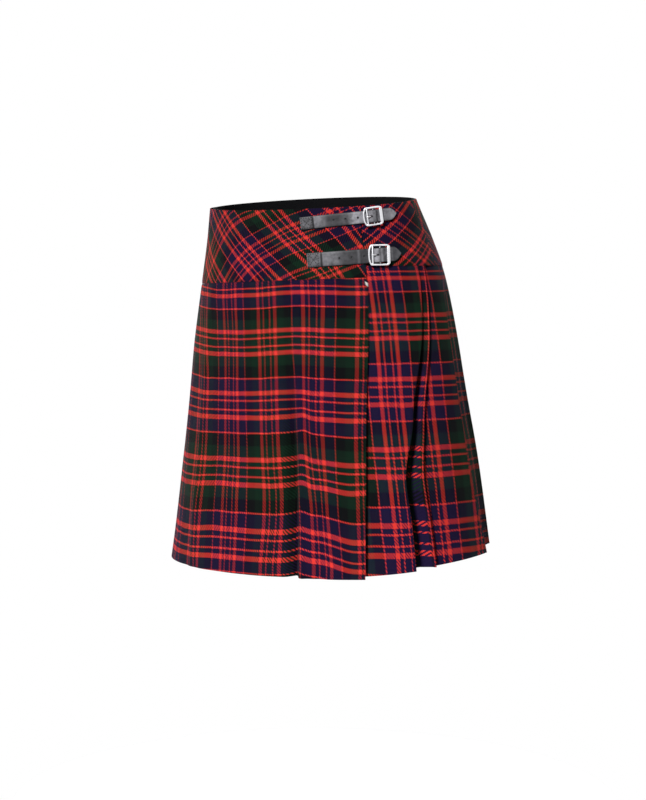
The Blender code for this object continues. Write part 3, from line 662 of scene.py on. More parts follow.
def crease_lift(piece, turn, drop):
    """How far the soft creases of a piece lift its cloth at a place."""
    lift = 0.0
    rate = metres_per_degree(turn, drop)
    for name, turn_a, drop_a, turn_b, drop_b, width, first, middle, last in CREASES:
        if name != piece:
            continue
        run, rise = (turn_b - turn_a) * rate, drop_b - drop_a
        along, down = (turn - turn_a) * rate, drop - drop_a
        share = clamp((along * run + down * rise) / (run * run + rise * rise))
        away = math.hypot(along - share * run, down - share * rise)
        if away < CREASE_REACH * width:
            if share < 0.5:
                height = mix(first, middle, 2 * share)
            else:
                height = mix(middle, last, 2 * share - 1)
            lift += height * math.exp(-(away / width) ** 2)
    return lift


def sag(turn, drop):
    """How far the outer apron's cloth has slid down at a place."""
    down = clamp(share_between(drop, *SAG_DROPS))
    across = ease(share_between(turn, *SAG_TURNS))
    begun = ease((drop - DRAWN_UP_START) / DRAWN_UP_REACH)
    return SAG * across * down - DRAWN_UP * begun * hump(turn, DRAWN_UP_TURN, DRAWN_UP_WIDTH)


def read_grid(table, turn, drop):
    """A smooth value from a table of turns by SHIFT_DROPS."""
    values = [(at_drop, read_curve(table, column, turn))
              for column, at_drop in enumerate(SHIFT_DROPS, start=1)]
    return read_curve(values, 1, drop)


def groove_lift(distance):
    """The cloth dips where it is turned in at a seam."""
    return -SEAM_GROOVE * math.exp(-(distance / SEAM_GROOVE_WIDTH) ** 2)


class FormArcs:
    """Lengths round the body form from the first of ARC_TURNS, read at a turn and a drop."""

    def __init__(self):
        self.turns = np.arange(*ARC_TURNS)
        self.drops = np.arange(*ARC_DROPS)
        rates = np.array([[metres_per_degree(turn, drop) for turn in self.turns]
                          for drop in self.drops])
        steps = (rates[:, 1:] + rates[:, :-1]) / 2 * ARC_TURNS[2]
        starts = np.zeros((len(self.drops), 1))
        self.arcs = np.concatenate([starts, np.cumsum(steps, axis=1)], axis=1)

    def read(self, turn, drop):
        row = (drop - self.drops[0]) / ARC_DROPS[2]
        low = int(min(max(row, 0), len(self.drops) - 2))
        column = (turn - self.turns[0]) / ARC_TURNS[2]
        left = int(min(max(column, 0), len(self.turns) - 2))
        across = column - left
        above = mix(self.arcs[low, left], self.arcs[low, left + 1], across)
        below = mix(self.arcs[low + 1, left], self.arcs[low + 1, left + 1], across)
        return mix(above, below, row - low)

    def from_edge(self, turn, drop):
        """The length from the apron's free edge to a turn, below 0 on the apron itself."""
        return self.read(turn, drop) - self.read(free_edge(drop), drop)


ARCS = FormArcs()


def weft_place(drop, rule):
    """How far down the cloth's own length a drop is, in metres of cloth."""
    zero, step, growth = rule
    root = math.sqrt(step * step + 4.0 * growth * (drop - zero))
    return (root - step) / (2.0 * growth) * HALF_REPEAT


def linear(value):
    return value / 12.92 if value <= 0.04045 else ((value + 0.055) / 1.055) ** 2.4


def colour(code):
    """A linear colour with alpha from an sRGB hex code."""
    code = code.lstrip("#")
    return tuple(linear(int(code[i:i + 2], 16) / 255.0) for i in (0, 2, 4)) + (1.0,)


def link_inputs(tree, node, sources):
    """Links a node's inputs from sockets, or from the first output of other nodes."""
    for key, source in sources.items():
        socket = source.outputs[0] if isinstance(source, bpy.types.Node) else source
        tree.links.new(socket, node.inputs[key])


def add_node(tree, kind, settings=None, links=None):
    """Adds a node, sets its properties or inputs and links its inputs."""
    node = tree.nodes.new(kind)
    for key, value in (settings or {}).items():
        if isinstance(key, str) and hasattr(node, key):
            setattr(node, key, value)
        else:
            node.inputs[key].default_value = value
    link_inputs(tree, node, links or {})
    return node


def set_stops(ramp, stops):
    """Gives a colour ramp its stops, each a position and a colour."""
    elements = ramp.color_ramp.elements
    for index, (position, shade) in enumerate(stops):
        stop = elements[index] if index < len(elements) else elements.new(position)
        stop.position = position
        stop.color = shade


def new_material(name, finish):
    """A material with its shader, whose own settings are its finish, and its node tree."""
    material = bpy.data.materials.new(name)
    material.use_nodes = True
    tree = material.node_tree
    tree.nodes.clear()
    shader = add_node(tree, "ShaderNodeBsdfPrincipled", finish)
    add_node(tree, "ShaderNodeOutputMaterial", links={"Surface": shader})
    return material, tree, shader


def make_tartan(name, settings, warp_over_dark):
    """Worsted wool tartan in a 2/2 twill: both thread systems carry the same sett, so the colours
    mix half and half where they cross, in fine diagonal ribs.  The finish is dry and soft.

    A thread shows duller where it crosses dark ones: warp_over_dark is the share that is left.
    """
    material, tree, shader = new_material(name, {
        "Roughness": 0.92, "Specular IOR Level": 0.05,
        "Sheen Weight": 0.02, "Sheen Roughness": 0.40})
    colours = {dye: colour(getattr(settings, dye)) for dye in ("red", "green", "navy", "black")}
    uv = add_node(tree, "ShaderNodeUVMap", {"uv_map": CLOTH_MAP})
    # The threads wander by up to a thread's width
    wobble = add_node(tree, "ShaderNodeTexNoise", {"Scale": 38.0, "Detail": 1.0}, {"Vector": uv})
    shift = add_node(tree, "ShaderNodeVectorMath", {"operation": "SUBTRACT", 1: (0.5, 0.5, 0.5)},
                     {0: wobble.outputs["Color"]})
    moved = add_node(tree, "ShaderNodeVectorMath",
                     {"operation": "MULTIPLY_ADD", 1: (0.0014, 0.0014, 0.0)}, {0: shift, 2: uv})
    parts = add_node(tree, "ShaderNodeSeparateXYZ", links={"Vector": moved})
    dyed, counts, rounds = {}, {}, {}
    for system, axis in (("warp", "X"), ("weft", "Y")):
        along = parts.outputs[axis]
        repeats = add_node(tree, "ShaderNodeMath", {"operation": "DIVIDE", 1: HALF_REPEAT},
                           {0: along})
        mirrored = add_node(tree, "ShaderNodeMath", {"operation": "PINGPONG", 1: 1.0}, {0: repeats})
        dyed[system] = add_node(tree, "ShaderNodeValToRGB", links={"Fac": mirrored})
        dyed[system].color_ramp.interpolation = "CONSTANT"
        set_stops(dyed[system], [(start, colours[dye]) for start, dye in SETT])
        threads = add_node(tree, "ShaderNodeMath",
                           {"operation": "DIVIDE", 1: settings.thread_spacing}, {0: along})
        counts[system] = add_node(tree, "ShaderNodeMath", {"operation": "FLOOR"}, {0: threads})
        inside = add_node(tree, "ShaderNodeMath", {"operation": "PINGPONG", 1: 0.5}, {0: threads})
        rounds[system] = add_node(tree, "ShaderNodeMath", {"operation": "MULTIPLY", 1: 2.0},
                                  {0: inside})
    # The warp is on top at two of each four crossings, one thread further on in each row
    total = add_node(tree, "ShaderNodeMath", {"operation": "ADD"},
                     {0: counts["warp"], 1: counts["weft"]})
    step = add_node(tree, "ShaderNodeMath", {"operation": "FLOORED_MODULO", 1: 4.0}, {0: total})
    warp_up = add_node(tree, "ShaderNodeMath", {"operation": "LESS_THAN", 1: 1.5}, {0: step})
    shaded = {}
    for system, other, least in (("warp", "weft", warp_over_dark), ("weft", "warp", WEFT_OVER_DARK)):
        red_below = add_node(tree, "ShaderNodeSeparateColor", links={"Color": dyed[other]})
        share = add_node(tree, "ShaderNodeMapRange",
                         {"From Max": colours["red"][0], "To Min": least, "To Max": 1.0},
                         {"Value": red_below})
        shaded[system] = add_node(tree, "ShaderNodeVectorMath", {"operation": "SCALE"},
                                  {0: dyed[system], "Scale": share})
    woven = add_node(tree, "ShaderNodeMix", {"data_type": "RGBA"},
                     {0: warp_up, 6: shaded["weft"], 7: shaded["warp"]})
    height = add_node(tree, "ShaderNodeMix", {"data_type": "FLOAT"},
                      {0: warp_up, 2: rounds["weft"], 3: rounds["warp"]})
    # Fuzz on the yarn, and slow changes of the dye
    tones = []
    for scale, detail, least, most in ((900.0, 2.0, 0.80, 1.16), (16.0, 3.0, 0.84, 1.14)):
        noise = add_node(tree, "ShaderNodeTexNoise", {"Scale": scale, "Detail": detail},
                         {"Vector": uv})
        tones.append(add_node(tree, "ShaderNodeMapRange", {"To Min": least, "To Max": most},
                              {"Value": noise}))
    both = add_node(tree, "ShaderNodeMath", {"operation": "MULTIPLY"}, {0: tones[0], 1: tones[1]})
    tinted = add_node(tree, "ShaderNodeVectorMath", {"operation": "SCALE"},
                      {0: woven.outputs[2], "Scale": both})
    bump = add_node(tree, "ShaderNodeBump", {"Strength": 0.55, "Distance": 0.00022},
                    {"Height": height})
    link_inputs(tree, shader, {"Base Color": tinted, "Normal": bump})
    return material


def make_lining_twill(name):
    """Black polyester twill: close diagonal ribs, nearly matt."""
    material, tree, shader = new_material(name, {"Roughness": 0.85, "Specular IOR Level": 0.08})
    uv = add_node(tree, "ShaderNodeUVMap", {"uv_map": CLOTH_MAP})
    ribs = add_node(tree, "ShaderNodeTexWave",
                    {"wave_type": "BANDS", "bands_direction": "DIAGONAL", "Scale": 260.0,
                     "Distortion": 0.4, "Detail": 1.0}, {"Vector": uv}).outputs["Fac"]
    tone = add_node(tree, "ShaderNodeMix",
                    {"data_type": "RGBA", 6: colour("#060607"), 7: colour("#121215")}, {0: ribs})
    bump = add_node(tree, "ShaderNodeBump", {"Strength": 0.4, "Distance": 0.0002}, {"Height": ribs})
    link_inputs(tree, shader, {"Base Color": tone.outputs[2], "Normal": bump})
    return material


def make_leather(name, settings, strap):
    """Black bridle leather: glazed and dark at its edges, with painted sheen in patches along each
    strap where the glaze would catch the light, and painted shade in the crease beside the stitched
    box.
    """
    material, tree, shader = new_material(name, {"Specular IOR Level": 0.22})
    at = add_node(tree, "ShaderNodeTexCoord").outputs["Object"]
    grain = add_node(tree, "ShaderNodeTexVoronoi", {"Scale": 1500.0, "feature": "DISTANCE_TO_EDGE"},
                     {"Vector": at})
    pores = add_node(tree, "ShaderNodeTexNoise", {"Scale": 2600.0, "Detail": 3.0}, {"Vector": at})
    cloudy = add_node(tree, "ShaderNodeTexNoise", {"Scale": 150.0, "Detail": 4.0, "Roughness": 0.6},
                      {"Vector": at})
    uv = add_node(tree, "ShaderNodeUVMap", {"uv_map": CLOTH_MAP})
    parts = add_node(tree, "ShaderNodeSeparateXYZ", links={"Vector": uv})
    rate = strap_rate(strap)
    along = add_node(tree, "ShaderNodeMapRange",
                     {"From Min": strap.start_turn * rate, "From Max": strap.tip_turn * rate},
                     {"Value": parts.outputs["X"]})
    # Painted sheen along the strap, with painted shade in its crease, broken into random patches
    painted_sheen_along = add_node(tree, "ShaderNodeValToRGB", links={"Fac": along})
    set_stops(painted_sheen_along, [(share, (grey, grey, grey, 1.0)) for share, grey in STRAP_PAINTED_SHEEN[strap.name]])
    patchy = add_node(tree, "ShaderNodeMapRange",
                      {"From Min": 0.3, "From Max": 0.7, "To Min": 0.45, "To Max": 1.4},
                      {"Value": cloudy})
    painted_sheen_share = add_node(tree, "ShaderNodeMath", {"operation": "MULTIPLY", "use_clamp": True},
                      {0: painted_sheen_along, 1: patchy})
    # Painted shade: the painted sheen is left out inside the punched holes, so they show dark
    for turn in strap.holes:
        middle = strap_place(strap, turn, 0.0, BUCKLE_PASS[0][1] + STRAP_LEATHER)
        away = add_node(tree, "ShaderNodeVectorMath", {"operation": "DISTANCE", 1: tuple(middle)},
                        {0: at})
        clear = add_node(tree, "ShaderNodeMapRange",
                         {"From Min": HOLE_RADIUS * 1.05, "From Max": HOLE_RADIUS * 1.3},
                         {"Value": away.outputs["Value"]})
        painted_sheen_share = add_node(tree, "ShaderNodeMath", {"operation": "MULTIPLY"}, {0: painted_sheen_share, 1: clear})
    tone = add_node(tree, "ShaderNodeMix",
                    {"data_type": "RGBA", 6: colour(settings.leather),
                     7: colour(settings.leather_high)}, {0: painted_sheen_share})
    side = add_node(tree, "ShaderNodeMath", {"operation": "ABSOLUTE"}, {0: parts.outputs["Y"]})
    edge_share = add_node(tree, "ShaderNodeMapRange",
                          {"From Min": 0.84, "From Max": 0.97, "To Max": 0.85}, {"Value": side})
    worn = add_node(tree, "ShaderNodeMix", {"data_type": "RGBA", 7: colour("#0b0a0c")},
                    {0: edge_share, 6: tone.outputs[2]})
    deep = add_node(tree, "ShaderNodeMath", {"operation": "MULTIPLY", 1: 0.35}, {0: pores})
    relief = add_node(tree, "ShaderNodeMath", {"operation": "ADD"}, {0: grain, 1: deep})
    bump = add_node(tree, "ShaderNodeBump", {"Strength": 0.5, "Distance": 0.00010},
                    {"Height": relief})
    gloss = add_node(tree, "ShaderNodeMapRange", {"To Min": 0.36, "To Max": 0.60}, {"Value": cloudy})
    link_inputs(tree, shader, {"Base Color": worn.outputs[2], "Roughness": gloss, "Normal": bump})
    return material


def make_chrome(name):
    """Chrome plate on a die-cast buckle: bright, with the faint haze of polishing."""
    material, tree, shader = new_material(name, {"Base Color": colour("#dedee2"), "Metallic": 1.0})
    at = add_node(tree, "ShaderNodeTexCoord").outputs["Object"]
    haze = add_node(tree, "ShaderNodeTexNoise", {"Scale": 900.0, "Detail": 3.0}, {"Vector": at})
    gloss = add_node(tree, "ShaderNodeMapRange", {"To Min": 0.20, "To Max": 0.36}, {"Value": haze})
    cast = add_node(tree, "ShaderNodeTexNoise", {"Scale": 260.0, "Detail": 1.0}, {"Vector": at})
    bump = add_node(tree, "ShaderNodeBump", {"Strength": 0.25, "Distance": 0.0002},
                    {"Height": cast})
    link_inputs(tree, shader, {"Roughness": gloss, "Normal": bump})
    return material


def make_thread(name, code):
    """Twisted sewing thread: two plies whose twist shows as slanting ribs, painted as darker bands
    for the shade in the grooves between them.
    """
    material, tree, shader = new_material(name, {"Roughness": 0.7})
    at = add_node(tree, "ShaderNodeTexCoord").outputs["Object"]
    twist = add_node(tree, "ShaderNodeTexWave",
                     {"wave_type": "BANDS", "bands_direction": "DIAGONAL", "Scale": 900.0},
                     {"Vector": at})
    # Painted shade in the grooves between the plies
    dark = tuple(part * 0.55 for part in colour(code)[:3]) + (1.0,)
    tone = add_node(tree, "ShaderNodeMix", {"data_type": "RGBA", 6: dark, 7: colour(code)},
                    {0: twist.outputs["Fac"]})
    link_inputs(tree, shader, {"Base Color": tone.outputs[2]})
    return material


def material_called(name, maker, *values):
    """The material of this name, made on its first use."""
    return bpy.data.materials.get(name) or maker(name, *values)


def link_object(name, data):
    """A new object at the origin."""
    item = bpy.data.objects.new(name, data)
    bpy.context.scene.collection.objects.link(item)
    return item


def add_piece(name, mesh, material):
    mesh.materials.append(material)
    return link_object(name, mesh)


def new_mesh(name, points, faces, map_places=None):
    """A mesh, with a UV map where a place on it is given for each corner of the faces."""
    mesh = bpy.data.meshes.new(name)
    mesh.from_pydata([tuple(point) for point in points], [], faces)
    if map_places is not None:
        layer = mesh.uv_layers.new(name=CLOTH_MAP)
        layer.uv.foreach_set("vector", np.array(map_places, dtype=np.float32).ravel())
    return mesh


def plain_mesh(item, **options):
    """The mesh of an object with its modifiers applied."""
    bpy.context.view_layer.update()
    graph = bpy.context.evaluated_depsgraph_get()
    return bpy.data.meshes.new_from_object(item.evaluated_get(graph), depsgraph=graph, **options)


def soften(mesh, degrees):
    """Smooth shading, with edges sharper than an angle left sharp."""
    mesh.shade_smooth()
    mesh.set_sharp_from_angle(angle=math.radians(degrees))


def outward_directions(grid, closed):
    """For each point of a grid, the level direction that moves it out by one unit of wall."""
    if closed:
        before, after = np.roll(grid, 1, axis=1), np.roll(grid, -1, axis=1)
    else:
        before = np.concatenate([grid[:, :1], grid[:, :-1]], axis=1)
        after = np.concatenate([grid[:, 1:], grid[:, -1:]], axis=1)
    into, away = (grid - before)[..., :2], (after - grid)[..., :2]
    into_length = np.linalg.norm(into, axis=-1, keepdims=True)
    away_length = np.linalg.norm(away, axis=-1, keepdims=True)
    into = np.where(into_length > 1e-9, into / np.maximum(into_length, 1e-12),
                    away / np.maximum(away_length, 1e-12))
    away = np.where(away_length > 1e-9, away / np.maximum(away_length, 1e-12), into)
    tangent = into + away
    tangent /= np.maximum(np.linalg.norm(tangent, axis=-1, keepdims=True), 1e-12)
    stretch = 1.0 / np.maximum((tangent * into).sum(axis=-1), 0.6)
    flat = np.zeros(stretch.shape)
    return np.stack([tangent[..., 1] * stretch, -tangent[..., 0] * stretch, flat], axis=-1)


def make_shell(name, rows, cloth_places, thickness, material, closed=False):
    """A closed thin wall round the surface through rows of points, with its UV map.

    cloth_places has a place on the flat cloth for each point, and one more in each row of a closed
    wall, for the end that meets the start.
    """
    grid = np.array([[tuple(point) for point in row] for row in rows])
    height, width = grid.shape[:2]
    out = outward_directions(grid, closed) * (thickness / 2)
    points = np.concatenate([(grid + out).reshape(-1, 3), (grid - out).reshape(-1, 3)])
    steps = width if closed else width - 1
    corners = []
    for row in range(height - 1):
        for column in range(steps):
            quad = ((row, column), (row + 1, column), (row + 1, column + 1), (row, column + 1))
            corners.append([(0, *corner) for corner in quad])
            corners.append([(1, *corner) for corner in reversed(quad)])
    for column in range(steps):
        for row, order in ((0, 1), (height - 1, -1)):
            rim = [(0, row, column), (0, row, column + 1), (1, row, column + 1), (1, row, column)]
            corners.append(rim[::order])
    if not closed:
        for row in range(height - 1):
            for column, order in ((0, 1), (width - 1, -1)):
                end = [(0, row, column), (1, row, column),
                       (1, row + 1, column), (0, row + 1, column)]
                corners.append(end[::order])
    corners = np.array(corners)
    faces = (corners[..., 0] * height + corners[..., 1]) * width + corners[..., 2] % width
    map_places = np.array(cloth_places)[corners[..., 1], corners[..., 2]]
    mesh = new_mesh(name, points.tolist(), faces.tolist(), map_places)
    soften(mesh, CLOTH_SHARP)
    return add_piece(name, mesh, material)


def finish_piece(piece, slot, *nodes):
    """The piece rides on the garment and stands for its plain solids; the slot it is given is not
    used.
    """
    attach(piece, BODY)
    if nodes:
        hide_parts(*nodes)


def panel(piece, first_turn, last_turn, top, bottom, lift, cloth_place, seam_above):
    """Rows of points and of cloth places from a top line to a bottom line between two edges.

    The cloth dips where it is turned in at its seam, which is above an apron and below a yoke.
    """
    start, end = first_turn(OUTER_SEAM), last_turn(OUTER_SEAM)
    columns = int(abs(end - start) * metres_per_degree(0.0, OUTER_SEAM) / CELL) + 1
    middle = (start + end) / 2
    steps = int((bottom(middle) - top(middle)) / CELL) + 1
    rows, places = [], []
    for step in range(steps):
        row, row_places = [], []
        for column in range(columns):
            share = column / (columns - 1)
            turn = mix(start, end, share)
            for _ in range(2):
                drop = mix(top(turn), bottom(turn), step / (steps - 1))
                turn = mix(first_turn(drop), last_turn(drop), share)
            to_seam = drop - top(turn) if seam_above else bottom(turn) - drop
            creased = lift(turn, drop) + crease_lift(piece, turn, drop)
            row.append(place(turn, drop, creased + groove_lift(to_seam)))
            row_places.append(cloth_place(turn, drop))
        rows.append(row)
        places.append(row_places)
    return rows, places


def outer_yoke_place(turn, drop):
    """The bias cut outer yoke: both thread systems slant, and sag apart towards the free edge.

    The weft, which shows the brighter, runs down towards the free edge.
    """
    far_slant, edge_slant, slant_reach = YOKE_SLANT
    at_away, at_drop, spacing = YOKE_FALLING_LINE
    near_spread, far_spread, spread_start, spread_reach = YOKE_SPREAD
    away = -ARCS.from_edge(turn, drop)
    slant = mix(far_slant, edge_slant, ease(1.0 - away / slant_reach))
    falling = 1.0 + (at_away - away - slant * (drop - at_drop)) / spacing
    spread = mix(near_spread, far_spread, ease((away - spread_start) / spread_reach))
    rising = RED_LINE + (drop - read_curve(YOKE_RISING_LINE, 1, away)) / spread
    return rising * HALF_REPEAT, falling * HALF_REPEAT


def under_yoke_place(turn, drop):
    """The under yoke is cut on the other bias."""
    along = ARCS.read(turn, drop) - ARCS.read(UNDER_YOKE_TURN, drop)
    rising, falling = (number + (drop - (at_drop + slope * (along - at_along))) / spacing
                       for number, at_along, at_drop, slope, spacing in UNDER_YOKE_LINES)
    return falling * HALF_REPEAT, -rising * HALF_REPEAT


def back_yoke_place(turn, drop):
    """The back yoke is cut on the true bias."""
    along = ARCS.read(turn, drop) - ARCS.read(CENTRE_BACK, drop)
    diagonal = math.sqrt(0.5)
    return (along + drop) * diagonal, (drop - along) * diagonal + BACK_YOKE_SHIFT * HALF_REPEAT


def first_pleat_warp(turn, drop):
    start, at_drop, lean = FIRST_PLEAT_WARP
    return HALF_REPEAT + ARCS.from_edge(turn, drop) - (start + lean * (drop - at_drop))


def apron_place(turn, drop):
    warp = -ARCS.from_edge(turn - read_grid(SLID_ROUND, turn, drop), drop) - APRON_WARP_START
    down = sag(turn, drop) + read_grid(SLID_DOWN, turn, drop) * MILLIMETRE
    return warp, weft_place(drop - down, APRON_WEFT)


def under_apron_place(turn, drop):
    return -first_pleat_warp(turn, drop), weft_place(drop, PLEAT_WEFT)


def turn_along_seam(start, length):
    """The turn that lies a length along the hip seam from another turn."""
    turn = start
    while length > 0.0:
        turn += SEAM_TURN_STEP
        length -= SEAM_TURN_STEP * metres_per_degree(turn, OUTER_SEAM)
    return turn


def seam_length(start, end):
    turns = [start + SEAM_TURN_STEP * step for step in range(int((end - start) / SEAM_TURN_STEP))]
    return sum(SEAM_TURN_STEP * metres_per_degree(turn, OUTER_SEAM) for turn in turns)


def pleat_list():
    """Each pleat's fold edge, as a function of drop, how far it opens and its column of HOLLOWS."""
    pleats = []
    for column, opening in enumerate(HIP_PLEAT_OPENING, start=1):
        pleats.append((lambda drop, column=column: read_curve(HIP_PLEATS, column, drop),
                       opening, column))
    start = HIP_PLEATS[0][-1]
    pitch = seam_length(start, LAST_PLEAT) / BACK_PLEATS
    for number in range(1, BACK_PLEATS + 1):
        seam_turn = turn_along_seam(start, pitch * number)
        phase = BACK_SWAY_STEP * number
        if number < BACK_PLEATS:
            sway, opening = BACK_SWAY * math.sin(phase), 1.0 + BACK_OPENING_CHANGE * math.cos(phase)
            column = BACK_HOLLOW_COLUMN
        else:
            sway, opening, column = 0.0, LAST_OPENING, None
        pleats.append((lambda drop, seam_turn=seam_turn, sway=sway:
                       seam_turn + sway * ease(fall(drop)), opening, column))
    return pleats


def face_warp(pleats, number, turn, drop):
    """Where on the cloth's width a place on a pleat's face is."""
    if number == 0:
        return first_pleat_warp(turn, drop)
    edge = pleats[number][0](drop)
    to_edge = ARCS.read(edge, drop) - ARCS.read(turn, drop)
    if number == 1:
        return SECOND_PLEAT_EDGE * HALF_REPEAT - to_edge
    if number == 2:
        start, at_drop, lean = THIRD_PLEAT_WARP
        line = start + lean * (drop - at_drop)
        across = (ARCS.from_edge(turn, drop) - line) * THIRD_PLEAT_SCALE
        return NEXT_RED_LINE * HALF_REPEAT + across
    return (PLEAT_WARP_START + PLEAT_WARP_STEP * (number - 2)) * HALF_REPEAT - to_edge


def pleat_row(pleats, first, last, drop_share):
    """One row of a group of pleats with rounded folds, and its places on the cloth's width."""

    def drop_at(turn):
        return mix(under_seam_drop(turn) + SEAM, pleat_hem_drop(turn), drop_share)

    def edge_of(number):
        edge = pleats[number][0]
        turn = edge(UNDER_SEAM)
        for _ in range(3):
            turn = edge(drop_at(turn))
        return turn

    def add(turn, along, lift, warp=None):
        drop = drop_at(turn)
        shifted = turn + along / metres_per_degree(turn, drop)
        drop = drop_at(shifted)
        path.append(place(shifted, drop, lift))
        drops.append(drop)
        warps.append(warp)

    def settled(number):
        return read_curve(SETTLED, 1, drop_at(edge_of(number))) if number == SETTLED_PLEAT else 0.0

    def hollow_of(number):
        column = pleats[number][2]
        hollow = read_curve(HOLLOWS, column, drop_at(edge_of(number))) if column else 0.0
        return hollow + settled(number)

    path, drops, warps = [], [], []
    base = CLOTH_ROOM / 2
    open_share = ease(drop_share)
    wave, waves, phase = FACE_WAVE
    fold_out, fold_in = (mix(*pair, open_share) for pair in (PLEAT_FOLD, PLEAT_INNER_FOLD))
    floor, back = (base + mix(*pair, open_share) for pair in (PLEAT_FLOOR, PLEAT_RETURN))
    if first == 0:
        drop = drop_at(free_edge(OUTER_SEAM))
        begin, start_lift, sunk = free_edge(drop) - PLEAT_START, under_lift(drop), 0.0
    else:
        sunk = hollow_of(first - 1)
        begin, start_lift = edge_of(first - 1), floor - sunk
    for number in range(first, last):
        # The face, from behind the pleat before it to its own fold edge
        edge, opening = edge_of(number), pleats[number][1]
        top = base + PLEAT_FACE_RISE * opening * open_share - settled(number)
        radius = mix(PLEAT_FOLD[0], fold_out, min(opening, 1.0))
        steps = PLEAT_FACE_STEPS if number != STEEP_PLEAT else PLEAT_FACE_STEPS // 2
        shifts = {0: SEAM / 2 if number == first else -SEAM / 2, steps: -radius}
        for step in range(steps + 1):
            across = step / steps
            plain_rise, deep_rise = (read_curve(FACE_SHAPE, column, across) for column in (1, 2))
            turn = mix(begin, edge, across)
            lift = mix(start_lift, top, mix(plain_rise, deep_rise, min(sunk / DEEP_HOLLOW, 1.0)))
            lift += (wave * open_share * math.sin(math.pi * across)
                     * math.sin(waves * drop_share + phase * number))
            add(turn, shifts.get(step, 0.0), lift, face_warp(pleats, number, turn, drop_at(turn)))
        if number == STEEP_PLEAT:
            for index in range(len(path) - 2, len(path) - 2 - steps, -1):
                along_slope = warps[index + 1] - (path[index + 1] - path[index]).length
                warps[index] = max(along_slope, STEEP_PLEAT_START * HALF_REPEAT)
        # The fold edge, the layer back under the face, the inner fold and the layer out again
        for step in range(1, FOLD_STEPS + 1):
            angle = math.pi / 2 - math.pi * step / FOLD_STEPS
            add(edge, -radius + radius * math.cos(angle), top - radius + radius * math.sin(angle))
        inner = edge - (edge - begin) * PLEAT_DEPTH
        low = back - sunk
        for step in range(1, PLEAT_LAYER_STEPS):
            share = step / PLEAT_LAYER_STEPS
            add(mix(edge, inner, share), mix(-radius, fold_in, share),
                mix(top - 2 * radius, low, share))
        for step in range(FOLD_STEPS + 1):
            angle = math.pi / 2 + math.pi * step / FOLD_STEPS
            add(inner, fold_in + fold_in * math.cos(angle),
                low - fold_in + fold_in * math.sin(angle))
        sunk = hollow_of(number)
        next_lift = floor - sunk
        for step in range(1, PLEAT_LAYER_STEPS):
            share = step / PLEAT_LAYER_STEPS
            add(mix(inner, edge, share), mix(fold_in, -SEAM / 2, share),
                mix(low - 2 * fold_in, next_lift, share))
        begin, start_lift = edge, next_lift
    next_warp = face_warp(pleats, last, begin, drop_at(begin)) if last < len(pleats) else None
    add(begin, -SEAM / 2, start_lift, next_warp)
    return path, drops, warps


def fill_hidden_warps(path, warps):
    """Carries the cloth's width on through the hidden folds, whole repeats apart where needed."""
    lengths = [0.0]
    for here, there in zip(path, path[1:]):
        lengths.append(lengths[-1] + (there - here).length)
    filled = list(warps)
    if filled[-1] is None:
        known = max(index for index, warp in enumerate(warps) if warp is not None)
        filled[-1] = filled[known] + lengths[-1] - lengths[known]
    repeat = 2.0 * HALF_REPEAT
    shift = 0.0
    index = 0
    result = []
    while index < len(filled):
        if filled[index] is not None:
            result.append(filled[index] + shift)
            index += 1
            continue
        after = index
        while filled[after] is None:
            after += 1
        start = result[-1]
        hidden = lengths[after] - lengths[index - 1]
        wanted = filled[after] + shift
        shift += round((start + hidden - wanted) / repeat) * repeat
        wanted = filled[after] + shift
        for middle in range(index, after):
            share = (lengths[middle] - lengths[index - 1]) / hidden
            result.append(mix(start, wanted, share))
        index = after
    return result


class SkirtSettings(bpy.types.PropertyGroup):
    """Sizes and colours that a user would change."""

    cloth: FloatProperty(name="Cloth", description="Thickness of the worsted cloth", default=0.0010,
                         unit="LENGTH")
    thread_spacing: FloatProperty(name="Thread spacing", default=0.0008, unit="LENGTH",
                                  description="Distance from one thread to the next")
    red: StringProperty(name="Red", description="Colour of the red threads", default="#cb332d")
    green: StringProperty(name="Green", description="Colour of the green threads", default="#10261a")
    navy: StringProperty(name="Navy", description="Colour of the blue threads", default="#1a1230")
    black: StringProperty(name="Black", description="Colour of the black threads", default="#0c0d0f")
    leather: StringProperty(name="Leather", description="Colour of the straps", default="#101013")
    # The pale leather colour is painted sheen, where the glaze would catch the light
    leather_high: StringProperty(name="Leather, pale", default="#95949a",
                                 description="Colour of the straps where the dye is thinner")
    stitch: FloatProperty(name="Stitch", description="Length of a stitch on the straps",
                          default=0.0021, unit="LENGTH")
    floor_gap: FloatProperty(name="Floor gap", description="Height of the hem above the floor",
                             default=0.30, unit="LENGTH")


class SKIRT_OT_make_yokes(bpy.types.Operator):
    """Make the three bias cut yokes round the hips"""

    bl_idname = "skirt.make_yokes"
    bl_label = "Make yokes"

    def execute(self, context):
        settings = context.scene.tartan_skirt
        cloth = material_called("worsted_tartan_on_the_bias", make_tartan, settings,
                                BIAS_WARP_OVER_DARK)
        gap = SEAM / metres_per_degree(LEFT_SIDE_SEAM, UNDER_SEAM) / 2
        yokes = (
            ("yoke_front", lambda drop: RIGHT_SIDE_SEAM - 360.0 + gap, free_edge, outer_seam_drop,
             lambda turn, drop: outer_lift(turn), outer_yoke_place),
            ("yoke_under", lambda drop: UNDER_EDGE, lambda drop: LEFT_SIDE_SEAM - gap,
             under_seam_drop, lambda turn, drop: CLOTH_ROOM / 2, under_yoke_place),
            ("yoke_back", lambda drop: LEFT_SIDE_SEAM + gap, lambda drop: RIGHT_SIDE_SEAM - gap,
             under_seam_drop, lambda turn, drop: CLOTH_ROOM / 2, back_yoke_place),
        )
        for name, first, last, foot, lift, cloth_place in yokes:
            rows, places = panel(name, first, last, rim_drop, foot, lift, cloth_place,
                                 seam_above=False)
            piece = make_shell("bias_" + name, rows, places, settings.cloth, cloth)
            finish_piece(piece, "tartan_bias", name)
        return {"FINISHED"}


